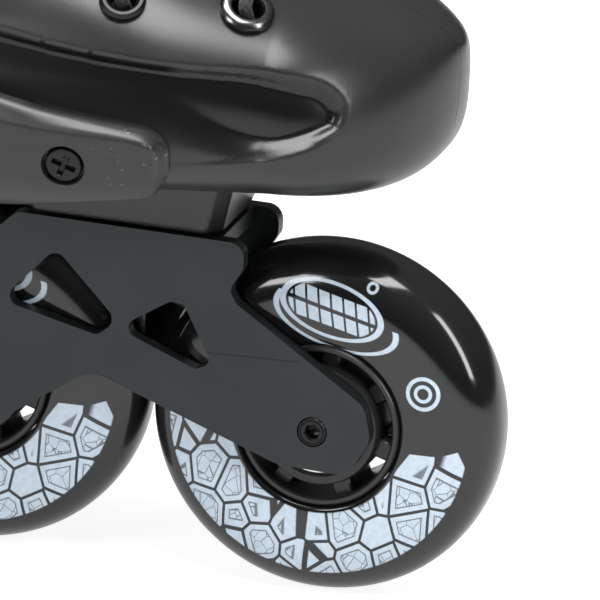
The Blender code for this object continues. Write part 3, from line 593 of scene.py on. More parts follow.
@dataclass(frozen=True)
class Section:
    """One slice of the boot: its sole and top points, widest share, half widths and squareness."""

    sole: Pair
    top: Pair
    share: float
    outer: float
    inner: float
    upper: float
    lower: float
    side_shift: float = 0.0

    def point(self, angle: float, outset: float = 0.0) -> Vector:
        """Point at an angle from the top, turning to the outer side first."""
        sole, top = Vector((self.sole[0], 0, self.sole[1])), Vector((self.top[0], 0, self.top[1]))
        up = (top - sole).normalized()
        centre = sole + (top - sole) * self.share
        across, along = math.sin(angle), math.cos(angle)
        height = ((top - centre).length if along >= 0 else (centre - sole).length) + outset
        width = (self.outer if across >= 0 else self.inner) + outset
        power = self.upper if along >= 0 else self.lower
        scale = (abs(across) ** power + abs(along) ** power) ** (-1 / power)
        sideways = Vector((0, self.side_shift - width * scale * across, 0))
        return centre + up * (height * scale * along) + sideways

    @staticmethod
    def between(table: Sequence[Sequence[float]], place: float) -> "Section":
        """Section at a fractional row of a table."""
        a, b, c, d, share, outer, inner, upper, lower = spline(table, place)
        return Section((a, b), (c, d), share, outer, inner, upper, lower)


@dataclass
class BootForm:
    """The boot's outer form, from the toe's tip to the top of the collar."""

    toe_length: float = 33.8
    toe_height: float = 125.0
    toe_shift: float = 4.0
    toe_powers: Pair = (1.8, 4.2)
    last: float = 11.0
    collar: float = 15.0
    table: list[tuple[float, ...]] = field(default_factory=lambda: [
        (112, 95.2, 112, 143.8, 0.40, 43.9, 44.6, 2.4, 2.8),
        (88, 94.5, 88, 151, 0.38, 50.2, 49.0, 2.4, 3.2),
        (58, 91.0, 56, 162, 0.35, 52.5, 50.0, 2.3, 3.2),
        (28, 89.0, 22, 179, 0.32, 50.0, 47.0, 2.2, 3.2),
        (-5, 90.5, -6, 196, 0.30, 45.5, 43.0, 2.2, 3.0),
        (-42, 95.0, -20, 210, 0.30, 41.0, 40.0, 2.3, 3.0),
        (-84, 99.0, -28, 220, 0.32, 39.5, 39.0, 2.5, 3.0),
        (-120, 103.0, -32, 226, 0.36, 39.0, 38.5, 2.6, 2.7),
        (-138, 118.0, -34, 230, 0.40, 39.0, 38.5, 2.6, 2.5),
        (-143, 142.0, -35, 233, 0.42, 39.0, 38.5, 2.6, 2.4),
        (-141, 168.0, -36, 237, 0.44, 39.0, 38.5, 2.6, 2.4),
        (-137, 192.0, -36, 242, 0.45, 39.0, 38.5, 2.6, 2.4),
        (-134, 216.0, -34, 252, 0.46, 40.0, 39.5, 2.5, 2.4),
        (-129, 248.0, -28, 272, 0.47, 42.0, 41.5, 2.4, 2.3),
        (-121, 286.0, -18, 300, 0.48, 44.0, 43.5, 2.3, 2.2),
        (-111, 330.0, -8, 334, 0.48, 45.5, 45.0, 2.2, 2.2),
    ])
    throat: tuple[float, ...] = (0.48, 0.54, 0.68, 0.73, 0.78, 0.84, 0.88, 0.90, 0.92, 0.92, 0.90, 0.86)
    eyelets: tuple[Pair, ...] = ((0.38, 0.73), (1.29, 0.89), (2.15, 0.96), (2.97, 1.01), (3.72, 1.05))

    def section(self, place: float) -> Section:
        """Section at a place: 0 and up counts the table's rows, -1 to 0 runs from the toe's tip."""
        if place >= 0:
            return Section.between(self.table, place)
        share = -place
        x, sole_z, _, top_z, widest, outer, inner, upper, lower = self.table[0]
        x += self.toe_length * share
        wide, tall = ((1 - share**power) ** (1 / power) for power in self.toe_powers)
        low = self.toe_height - (self.toe_height - sole_z - 1.6 * share) * tall
        high = self.toe_height + (top_z - 12.4 * share - self.toe_height) * tall
        shift = self.toe_shift * share**2
        return Section((x, low), (x, high), widest, outer * wide, inner * wide, upper, lower, shift)

    def point(self, place: float, angle: float, outset: float = 0.0) -> Vector:
        """Point of the form, moved outwards by outset."""
        return self.section(place).point(angle, outset)

    def frame(self, place: float, angle: float, outset: float = 0.0) -> tuple[Vector, Vector, Vector]:
        """Point, outward direction and direction towards the toe."""
        here = self.point(place, angle, outset)
        along = self.point(place - 0.05, angle, outset) - self.point(place + 0.05, angle, outset)
        across = self.point(place, angle + 0.03, outset) - self.point(place, angle - 0.03, outset)
        out = along.cross(across).normalized()
        if out.dot(self.point(place, angle, outset + 2.0) - here) < 0:
            out = -out
        return here, out, along.normalized()

    def throat_angle(self, place: float) -> float:
        """Half angle of the lace opening."""
        if place <= 0:
            return 0.0
        angle = spline([(a,) for a in self.throat], place)[0]
        return angle * math.sqrt(1 - (1 - min(1.0, place / 0.5)) ** 2)


# ---- Finishes ------------------------------------------------------------------------------------


@dataclass(frozen=True)
class MouldedPlastic:
    """Satin moulded plastic: fine grain, soft tone drift, small scuffs; the shell's scoop gets painted shade.
    """

    name: str = "shell plastic"
    colour: Colour = (0.020, 0.020, 0.0195)
    roughness: float = 0.29
    grain: float = 2.4
    grain_depth: float = 0.05
    scuffs: float = 0.0
    # On the shell: a toe seam groove, and painted shade that darkens the side scoop by its stored depth.
    seam: bool = False

    def build(self) -> bpy.types.Material:
        """Makes the material."""
        tree = ShaderTree(self.name)
        vector, x, y, z = tree.coordinates()
        drift = tree.noise(vector, 0.035, 2.0)
        fine = tree.noise(vector, self.grain, 3.0, 0.65)
        marks = tree.noise(vector, 0.9, 4.0, 0.7)
        tone = tree.shade(drift.ramp(0.3, 0.75), self.colour, 0.90, 1.12)
        height = fine * 0.7 + marks * 0.3
        if self.scuffs > 0:
            stretched = tree.stretch(vector, (0.5, 1.0, 1.6))
            specks = tree.noise(stretched, 0.55, 6.0, 0.75).ramp(0.63, 0.66) * self.scuffs
            near = (abs(x - 84.0) + abs(z - 110.0) * 1.2).ramp(13.0, 5.0)
            tone = tree.mix(specks * near, tone, (0.55, 0.55, 0.53))
        if self.seam:
            groove = abs(y - Skate.side_shift).ramp(0.42, 0.12) * (x > 118.0)
            height = height - groove * 3.5
            tone = tree.mix(groove * 0.5, tone, (0.015, 0.015, 0.015))
            # Painted shade: base colour goes near black inside the scoop by its stored depth; lower roughness
            # is a real gloss.
            stored = tree.node("ShaderNodeAttribute", {"attribute_name": "hollow"})
            hollow = Value(tree, stored.outputs["Fac"])
            tone = tree.mix(hollow.ramp(0.0, 0.7), tone, (0.004, 0.004, 0.004))
        rough = drift * 0.08 + fine * 0.06 + (self.roughness - 0.07)
        if self.seam:
            rough = rough - hollow * 0.07
        tree.bump(height, self.grain_depth, 0.5)
        return tree.finish(Base_Color=tone, Roughness=rough, IOR=1.5)


@dataclass(frozen=True)
class AnodisedAlloy:
    """Satin anodised aluminium, very even, faint machining lines, a step cut into the arm with painted shade.
    """

    name: str = "frame alloy"
    colour: Colour = (0.030, 0.035, 0.037)
    roughness: float = 0.42

    def build(self) -> bpy.types.Material:
        """Makes the material."""
        tree = ShaderTree(self.name)
        vector, x, y, z = tree.coordinates()
        stretched = tree.stretch(vector, (0.06, 1.0, 2.2))
        lines = tree.noise(stretched, 1.0, 4.0, 0.6)
        cloud = tree.noise(vector, 0.05, 2.0)
        fine = tree.noise(vector, 5.0, 2.0)
        tone = tree.shade(cloud.ramp(0.3, 0.7), self.colour, 0.94, 1.08)
        run = (abs(x) > 96.5) * (abs(x) < 117.5) * (abs(y - Skate.side_shift) > 15.5)
        # The step is bumped into the arm, and its line is darkened in the base colour as painted shade.
        step = abs(z - (abs(x) - 96.5) * 0.04 - 54.9).ramp(0.22, 0.08) * run
        tone = tree.mix(step * 0.75, tone, (0.008, 0.009, 0.010))
        rough = lines * 0.08 + cloud * 0.05 + (self.roughness - 0.06)
        tree.bump(lines * 0.5 + fine * 0.5 - step * 3.0, 0.03, 0.35)
        return tree.finish(Base_Color=tone, Roughness=rough, Metallic=0.55)


@dataclass(frozen=True)
class CastUrethane:
    """Glossy cast urethane with a pale print of cobbles along the lower side and a plain banded oval."""

    name: str = "tyre urethane"
    colour: Colour = (0.006, 0.006, 0.0065)
    print_colour: Colour = (0.56, 0.66, 0.76)
    ink: Colour = (0.010, 0.011, 0.013)

    @staticmethod
    def cobbles(tree: ShaderTree, vector: Any, radius: Value) -> tuple[Value, Value]:
        """The print of stacked cobbles.

        Args:
            tree: The material's tree.
            vector: Wheel coordinates.
            radius: Distance from the axle.

        Returns:
            Where the print is, and how dark its lines are.
        """
        flat = tree.stretch(vector, (1.0, 0.0, 0.86))
        to_edge, sizes = {"feature": "DISTANCE_TO_EDGE"}, {"Scale": 0.145, "Randomness": 0.66}
        edge = Value(tree, tree.node("ShaderNodeTexVoronoi", to_edge, flat, **sizes).outputs[0])
        cells = tree.node("ShaderNodeTexVoronoi", {"feature": "F1"}, flat, **sizes)
        middle = tree.node("ShaderNodeSeparateXYZ", None, cells.outputs["Position"]).outputs
        stack = Value(tree, middle[2]) / 0.86 + Value(tree, middle[0]) * 0.09
        band = radius.ramp(19.9, 20.3) * radius.ramp(34.4, 34.0)
        below = (stack + 4.4).ramp(0.15, -0.15)
        rings = abs(edge - 0.20).ramp(0.026, 0.010)
        small = tree.node("ShaderNodeTexVoronoi", to_edge, flat, Scale=0.40, Randomness=1.0)
        cracks = Value(tree, small.outputs[0]).ramp(0.035, 0.012) * (edge > 0.20)
        outline = edge.ramp(0.055, 0.035)
        lines = outline.maths("MAXIMUM", rings * 0.75).maths("MAXIMUM", cracks * 0.8)
        return band * below, lines

    @staticmethod
    def badge(x: Value, z: Value) -> Value:
        """A plain oval of slanted bars with a swept ring round it, and a ring mark further round."""
        turn = math.radians(-13.0)
        right, up = x - 1.6, z - 27.2
        u = right * math.cos(turn) + up * math.sin(turn)
        w = up * math.cos(turn) - right * math.sin(turn)
        oval = ((u / 11.6) ** 2.0 + (w / 6.0) ** 2.0) ** 0.5
        swept = (((u - 1.5) / 14.2) ** 2.0 + ((w + 1.6) / 6.6) ** 2.0) ** 0.5
        ring = abs(oval - 1.0).ramp(0.075, 0.05) + abs(swept - 1.0).ramp(0.06, 0.035) * (w < 0.4)
        rows = abs(abs(w) - 2.0).ramp(1.65, 1.45)
        gaps = (u + w * 0.4).maths("PINGPONG", 1.5).ramp(0.20, 0.34)
        bars = rows * gaps * oval.ramp(0.90, 0.86)
        mark = ((x - 23.6) ** 2.0 + (z - 11.0) ** 2.0) ** 0.5
        dots = ((x - 10.2) ** 2.0 + (z - 33.2) ** 2.0) ** 0.5
        arcs = abs(dots - 1.0).ramp(0.42, 0.22) + abs(mark - 3.5).ramp(0.55, 0.34)
        arcs = arcs + abs(mark - 1.7).ramp(0.5, 0.3)
        return (ring + bars + arcs).maths("MINIMUM", 1.0)

    def build(self) -> bpy.types.Material:
        """Makes the material."""
        tree = ShaderTree(self.name)
        vector, x, y, z = tree.coordinates("wheel_place")
        radius = (x**2.0 + z**2.0) ** 0.5
        on_side = abs(y).ramp(9.0, 9.4)
        place, lines = self.cobbles(tree, vector, radius)
        worn = tree.noise(vector, 0.8, 3.0, 0.6)
        inked = self.badge(x, z) * on_side
        pale = tree.shade(worn.ramp(0.25, 0.8), self.print_colour, 1.05, 0.88)
        paint = tree.mix(lines, pale, self.ink)
        body = tree.mix(inked, tree.mix(worn * 0.4, self.colour, (0.012, 0.012, 0.013)), pale)
        covered = place * on_side
        colour = tree.mix(covered, body, paint)
        printed = covered.maths("MAXIMUM", inked)
        tread = radius.ramp(37.0, 39.2)
        dust = tree.noise(vector, 0.35, 5.0, 0.7)
        rough = printed * 0.14 + tread * (dust * 0.20) + worn * 0.04 + 0.10
        tree.bump(worn * 0.2 + tread * dust * 0.8 + printed * 0.5, 0.04, 0.35)
        return tree.finish(Base_Color=colour, Roughness=rough, Coat_Weight=0.35, Coat_Roughness=0.06, IOR=1.5)


@dataclass(frozen=True)
class TurnedMetal:
    """Ground or oxide-blacked steel, with fine lines round its axis and a little wear."""

    name: str
    colour: tuple[float, float, float]
    roughness: float = 0.2
    metallic: float = 1.0
    wear: float = 0.0

    def build(self) -> bpy.types.Material:
        """Makes the material."""
        tree = ShaderTree(self.name)
        vector, _, _, _ = tree.coordinates()
        stretched = tree.stretch(vector, (0.4, 3.0, 3.0))
        lines = tree.noise(stretched, 1.6, 3.0)
        cloud = tree.noise(vector, 0.6, 3.0, 0.6)
        tone = tree.shade(cloud.ramp(0.3, 0.7), self.colour, 0.88, 1.1)
        tone = tree.mix(cloud.ramp(0.66, 0.72) * self.wear, tone, (0.32, 0.32, 0.31))
        tree.bump(lines, 0.012, 0.4)
        rough = lines * 0.10 + cloud * 0.08 + (self.roughness - 0.08)
        return tree.finish(Base_Color=tone, Roughness=rough, Metallic=self.metallic)


@dataclass(frozen=True)
class WovenCloth:
    """Woven lining cloth: warp and weft a millimetre apart, fuzz, tone drift, and painted shade between
    threads.
    """

    name: str = "liner cloth"
    colour: Colour = (0.020, 0.020, 0.022)
    thread: float = 1.1
    sheen: float = 0.25

    def build(self) -> bpy.types.Material:
        """Makes the material."""
        tree = ShaderTree(self.name)
        vector, x, y, z = tree.coordinates()
        wobble = tree.noise(vector, 0.12, 2.0) * 2.0
        pitch = math.tau / self.thread
        warp = ((x + y * 0.7 + wobble) * pitch).maths("SINE")
        weft = ((z + y * 0.5 + wobble) * pitch).maths("SINE")
        weave = warp * weft * 0.5 + 0.5
        fuzz = tree.noise(vector, 3.0, 4.0, 0.7)
        drift = tree.noise(vector, 0.05, 3.0)
        # Painted light and shade: weave crowns lighter, gaps between threads darker; fuzz and drift are
        # random tone.
        weave_shade_and_fuzz = weave * 0.6 + fuzz * 0.3 + drift * 0.1
        tone = tree.shade(weave_shade_and_fuzz, self.colour, 0.55, 1.9)
        tree.bump(weave * 0.7 + fuzz * 0.3, 0.22, 0.6)
        rough = fuzz * 0.15 + 0.78
        return tree.finish(Base_Color=tone, Roughness=rough, Sheen_Weight=self.sheen, Sheen_Roughness=0.5)


@dataclass(frozen=True)
class BraidedCord:
    """A braided lace: strands cross over it both ways on its own UV map, with painted shade between them."""

    name: str = "lace braid"
    colour: Colour = (0.018, 0.018, 0.019)

    def build(self) -> bpy.types.Material:
        """Makes the material."""
        tree = ShaderTree(self.name)
        layout = tree.node("ShaderNodeUVMap", {"uv_map": "UVMap"}).outputs[0]
        parts = tree.node("ShaderNodeSeparateXYZ", None, layout).outputs
        u, v = Value(tree, parts[0]), Value(tree, parts[1])
        one = ((u * 6.0 + v * 0.62) * math.tau).maths("SINE")
        two = ((u * 6.0 - v * 0.62) * math.tau).maths("SINE")
        strands = one.maths("MAXIMUM", two) * 0.5 + 0.5
        vector, _, _, _ = tree.coordinates()
        fuzz = tree.noise(vector, 6.0, 3.0, 0.7)
        # Painted light and shade: strand crowns lighter, the grooves between strands darker; fuzz is random
        # tone.
        tone = tree.shade(strands * 0.8 + fuzz * 0.2, self.colour, 0.35, 1.8)
        tree.bump(strands * 0.8 + fuzz * 0.2, 0.25, 0.8)
        return tree.finish(Base_Color=tone, Roughness=fuzz * 0.2 + 0.62, Sheen_Weight=0.2)


class Finishes:
    """Every material of the skate, made once."""

    def __init__(self) -> None:
        """Builds the materials."""
        self.shell = MouldedPlastic(seam=True).build()
        self.slider = MouldedPlastic("guard plastic", (0.020, 0.020, 0.0195), 0.34, scuffs=1.0).build()
        self.nylon = MouldedPlastic("buckle nylon", (0.022, 0.022, 0.023), 0.38, 3.2).build()
        self.frame = AnodisedAlloy().build()
        self.tyre = CastUrethane().build()
        self.hub = MouldedPlastic("hub plastic", (0.016, 0.016, 0.016), 0.30, 1.8).build()
        self.steel = TurnedMetal("ground steel", (0.72, 0.71, 0.69), 0.16).build()
        self.oxide = TurnedMetal("black steel", (0.016, 0.0165, 0.018), 0.26, 0.6, 0.35).build()
        self.gunmetal = TurnedMetal("gunmetal", (0.15, 0.15, 0.155), 0.20).build()
        self.cloth = WovenCloth().build()
        self.thread = WovenCloth("seam thread", (0.05, 0.05, 0.052), 0.4, 0.1).build()
        self.foam = WovenCloth("footbed top", (0.055, 0.056, 0.06), 0.8, 0.3).build()
        self.lace = BraidedCord().build()


def place(piece: bpy.types.Object, body: str, slot: str, *nodes: str) -> bpy.types.Object:
    """Hands a finished piece to a body, hides the nodes it stands for and reports its slot's name."""
    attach(piece, body)
    settle(piece, slot, *nodes)
    return piece


def settle(piece: bpy.types.Object, slot: str, *nodes: str) -> None:
    """Hides the nodes a piece stands for, and reports it with its slot's name."""
    if nodes:
        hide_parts(*nodes)
    LOG.info("%s: %d faces, slot %s", piece.name, len(piece.data.polygons), slot)


def merged(parts: Iterable[bmesh.types.BMesh]) -> bmesh.types.BMesh:
    """Puts several closed bmeshes in one, each with outward faces."""
    whole = bmesh.new()
    for part in parts:
        bmesh.ops.remove_doubles(part, verts=part.verts, dist=0.0004)
        bmesh.ops.recalc_face_normals(part, faces=part.faces)
        mesh = bpy.data.meshes.new("part")
        part.to_mesh(mesh)
        part.free()
        whole.from_mesh(mesh)
        bpy.data.meshes.remove(mesh)
    return whole


def block(size: Sequence[float], edge: float, centre: Sequence[float] = (0.0, 0.0, 0.0)) -> bmesh.types.BMesh:
    """A box of a size with bevelled edges."""
    bm = bmesh.new()
    bmesh.ops.create_cube(bm, size=1.0)
    bmesh.ops.scale(bm, vec=Vector(size), verts=bm.verts)
    bmesh.ops.bevel(bm, geom=list(bm.edges), offset=edge, segments=1, affect="EDGES")
    bmesh.ops.translate(bm, vec=Vector(centre), verts=bm.verts)
    return bm


# ---- Fasteners -----------------------------------------------------------------------------------


class Recess(Enum):
    """Outline of one ring of a fastener."""

    ROUND = "round"
    HEX = "hex"
    CROSS = "cross"

    def reach(self, angle: float, radius: float) -> float:
        """Distance from the axis to the outline at an angle."""
        if self is Recess.HEX:
            return radius / math.cos((angle + math.pi / 6) % (math.pi / 3) - math.pi / 6)
        if self is Recess.CROSS:
            large, small = sorted((abs(math.cos(angle)), abs(math.sin(angle))), reverse=True)
            return radius / large if small <= 0.25 * large else radius * 0.25 / small
        return radius


Ring = tuple[float, float, Recess]


def rings(kind: Recess, *pairs: Pair) -> tuple[Ring, ...]:
    """Rings of one outline from (radius, height) pairs."""
    return tuple((radius, height, kind) for radius, height in pairs)


@dataclass(frozen=True)
class Fastener:
    """A turned fastener: rings of (radius, height, outline) from its tip to the floor of its socket."""

    rings: tuple[Ring, ...]
    segments: int = 72

    @classmethod
    def button(
        cls, shank: float, length: float, head: float, height: float, socket: float, kind: Recess
    ) -> "Fastener":
        """A button head with a rounded rim and a socket.

        Args:
            shank: Radius of the shank.
            length: How far the shank runs below the seat.
            head: Radius of the head.
            height: Height of the head.
            socket: Radius of the socket.
            kind: The socket's outline.

        Returns:
            The fastener, its seat at height 0.
        """
        crown = [(shank, -length), (shank, 0.0), (head - 0.2, 0.0), (head, 0.2)]
        for step in range(7):
            angle = math.pi / 2 * step / 6
            reach = head - (head - socket - 0.7) * (1 - math.cos(angle)) * 0.55
            crown.append((reach, 0.2 + (height - 0.2) * math.sin(angle)))
        wall = [(socket + 0.12, height - 0.05), (socket, height - 0.22), (socket * 0.94, height * 0.3)]
        return cls((
            *rings(Recess.ROUND, *crown, (socket + 0.35, height)), *rings(kind, *wall),
            *rings(Recess.ROUND, (socket * 0.35, height * 0.18)),
        ))

    def mesh(self, position: Vector, direction: Vector, twist: float = 0.0) -> bmesh.types.BMesh:
        """The fastener's mesh, its height along direction."""
        rows = []
        for radius, height, kind in self.rings:
            ring = []
            for k in range(self.segments):
                angle = math.tau * k / self.segments
                reach = kind.reach(angle, radius)
                ring.append(Vector((reach * math.cos(angle), height, reach * math.sin(angle))))
            rows.append(ring)
        return moved(loft(rows), facing(position, direction, twist))

    def fix(
        self,
        name: str,
        node: str,
        finish: bpy.types.Material,
        position: Vector,
        direction: Vector,
        twist: float = 0.0,
    ) -> bpy.types.Object:
        """Makes the fastener a piece of the boot's body.

        Args:
            name: The piece's name after the skate's.
            node: The node it stands for.
            finish: Its material.
            position: The middle of its seat.
            direction: Where its head points.
            twist: Its turn about its own axis.

        Returns:
            The piece.
        """
        piece = mesh_object(f"skate_{name}", self.mesh(position, direction, twist), finish, 30)
        return place(piece, "boot", "black_steel", node)


# ---- Wheels --------------------------------------------------------------------------------------


@dataclass
class Wheel:
    """One wheel: tyre, spoked hub, two bearings and its axle."""

    number: int
    finishes: Finishes
    half_width: float = 11.7
    tyre_bore: float = 18.9
    rim: Pair = (18.6, 16.9)
    barrel: Pair = (13.7, 11.25)
    spokes: int = 7
    spoke_phase: float = math.radians(-17.3)
    bearing_face: float = 11.9
    segments: int = 144

    def __post_init__(self) -> None:
        """Finds the axle."""
        low, high = (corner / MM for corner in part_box(f"wheel_{self.number}_tyre"))
        middle = (low + high) / 2
        self.centre = Vector((middle.x, 0.0, middle.z))
        self.body = f"wheel_{self.number}"

    def name(self, part: str) -> str:
        """A piece's name."""
        return f"skate_wheel_{self.number}_{part}"

    def stamp(self, piece: bpy.types.Object) -> bpy.types.Object:
        """Stores each point's place in the wheel, so that a print turns with it."""
        origin = to_metres(self.centre)
        stored = piece.data.attributes.new("wheel_place", "FLOAT_VECTOR", "POINT")
        for item, vert in zip(stored.data, piece.data.vertices):
            item.vector = vert.co - origin
        return piece

    def tyre(self) -> bpy.types.Object:
        """The urethane tyre, its flat sides rolling over to the tread."""
        profile, steps, roundness, shoulder = [], 22, 2.4, 26.0
        for k in range(-steps, steps + 1):
            share = math.sin(math.pi / 2 * k / steps)
            drop_in = max(0.0, 1 - abs(share) ** roundness) ** (1 / roundness)
            profile.append((shoulder + (Skate.wheel_radius - shoulder) * drop_in, self.half_width * share))
        bore, edge = self.tyre_bore, self.half_width - 0.5
        lip = [(23.0, edge + 0.32), (20.4, edge + 0.12)]
        lip += [(bore + 0.7, edge), (bore + 0.2, edge - 0.2), (bore, edge - 0.7)]
        profile += lip + [(r, -y) for r, y in reversed(lip)]
        solid = turned(profile, self.centre, self.segments)
        piece = mesh_object(self.name("tyre"), solid, self.finishes.tyre, 50)
        return place(self.stamp(piece), self.body, "tyre_urethane", f"{self.body}_tyre")

    def hub(self) -> bpy.types.Object:
        """The hub: rim and barrel tubes joined by spokes with windows between them."""
        (outer, inner), (wide, seat) = self.rim, self.barrel
        half_rim = [(outer, 10.4), (outer - 0.5, 10.9), (inner + 0.4, 10.9), (inner, 10.5),
                    (inner - 0.35, 3.0)]
        half_barrel = [(wide + 0.35, 4.0), (wide, 10.6), (wide - 0.4, 11.3), (wide - 0.9, 11.5),
                       (seat + 0.4, 11.5), (seat, 11.1), (seat, 4.6), (8.5, 4.6)]
        rim, barrel = ([*half, *((r, -y) for r, y in reversed(half))] for half in (half_rim, half_barrel))
        bm = merged([turned(rim, self.centre, 96), turned(barrel, self.centre, 96)])
        tubes = mesh_object(self.name("hub_tubes"), bm, self.finishes.hub, 35)
        shape = merged([block((4.6, 16.0, 4.4), 0.45), block((5.4, 9.0, 6.0), 0.5)])
        places = []
        for k in range(self.spokes):
            angle = self.spoke_phase + math.tau * k / self.spokes
            spot = self.centre + Vector((math.cos(angle), 0, math.sin(angle))) * 15.3
            places.append(Matrix.Translation(spot) @ Matrix.Rotation(-angle, 4, "Y"))
        spokes = repeat(self.name("hub_spokes"), shape, places, self.finishes.hub)
        repaint(spokes, self.finishes.hub)
        place(tubes, self.body, "hub_plastic", f"{self.body}_hub")
        return place(spokes, self.body, "hub_plastic", f"{self.body}_hub")

    def bearings(self) -> None:
        """Outer rings with their shields, and the inner rings, which stand still with the axle."""
        ring = [(11.0, 7.0), (11.0, 0.5), (10.5, 0.0), (9.5, 0.0), (9.2, 0.35), (8.8, 0.5), (6.9, 0.5),
                (6.75, 0.8), (6.75, 7.0)]
        race = [(6.4, 7.0), (6.4, 0.3), (6.1, 0.0), (4.3, 0.0), (4.05, 0.25), (4.05, 7.0)]
        for label, profile, segments, body, part in (
            ("rings", ring, 72, self.body, "outer"), ("races", race, 48, "boot", "inner")
        ):
            solids = []
            for side in (-1, 1):
                points = [(r, side * (self.bearing_face - depth)) for r, depth in profile]
                solids.append(turned(points, self.centre, segments))
            piece = mesh_object(self.name(f"bearing_{label}"), merged(solids), self.finishes.steel, 30)
            nodes = (f"{self.body}_bearing_{part}_{end}" for end in ("outer_side", "inner_side"))
            place(piece, body, "bearing_steel", *nodes)

    def axle(self) -> bpy.types.Object:
        """The axle: its tip flush in the outer plate, its head in the inner one, a hex socket in each."""
        half = Skate.frame_half
        tip = Fastener((
            *rings(Recess.ROUND, (3.7, -half - 13.6), (3.7, -4.1), (3.3, -4.0), (3.3, -0.25), (3.08, -0.02),
                   (2.85, -0.02), (2.72, -0.3), (2.58, -0.3), (2.46, -0.04), (1.95, -0.04)),
            *rings(Recess.HEX, (1.62, -0.1), (1.5, -0.3), (1.45, -3.0)), *rings(Recess.ROUND, (0.4, -3.5)),
        ))
        head = Fastener((
            *rings(Recess.ROUND, (3.6, -2.1), (5.0, -2.1), (5.0, 0.1), (4.6, 0.5), (3.4, 0.55), (2.4, 0.5)),
            *rings(Recess.HEX, (2.05, 0.4), (2.0, 0.1), (1.9, -1.6)), *rings(Recess.ROUND, (0.5, -1.9)),
        ))
        outer = tip.mesh(self.centre - Vector((0, half, 0)), Vector((0, -1, 0)), 0.3)
        inner = head.mesh(self.centre + Vector((0, half, 0)), Vector((0, 1, 0)))
        piece = mesh_object(self.name("axle"), merged([outer, inner]), self.finishes.oxide, 30)
        return place(piece, "boot", "black_steel", f"{self.body}_axle")

    def build(self) -> None:
        """Makes the whole wheel."""
        self.tyre()
        self.hub()
        self.bearings()
        self.axle()


# ---- Frame ---------------------------------------------------------------------------------------


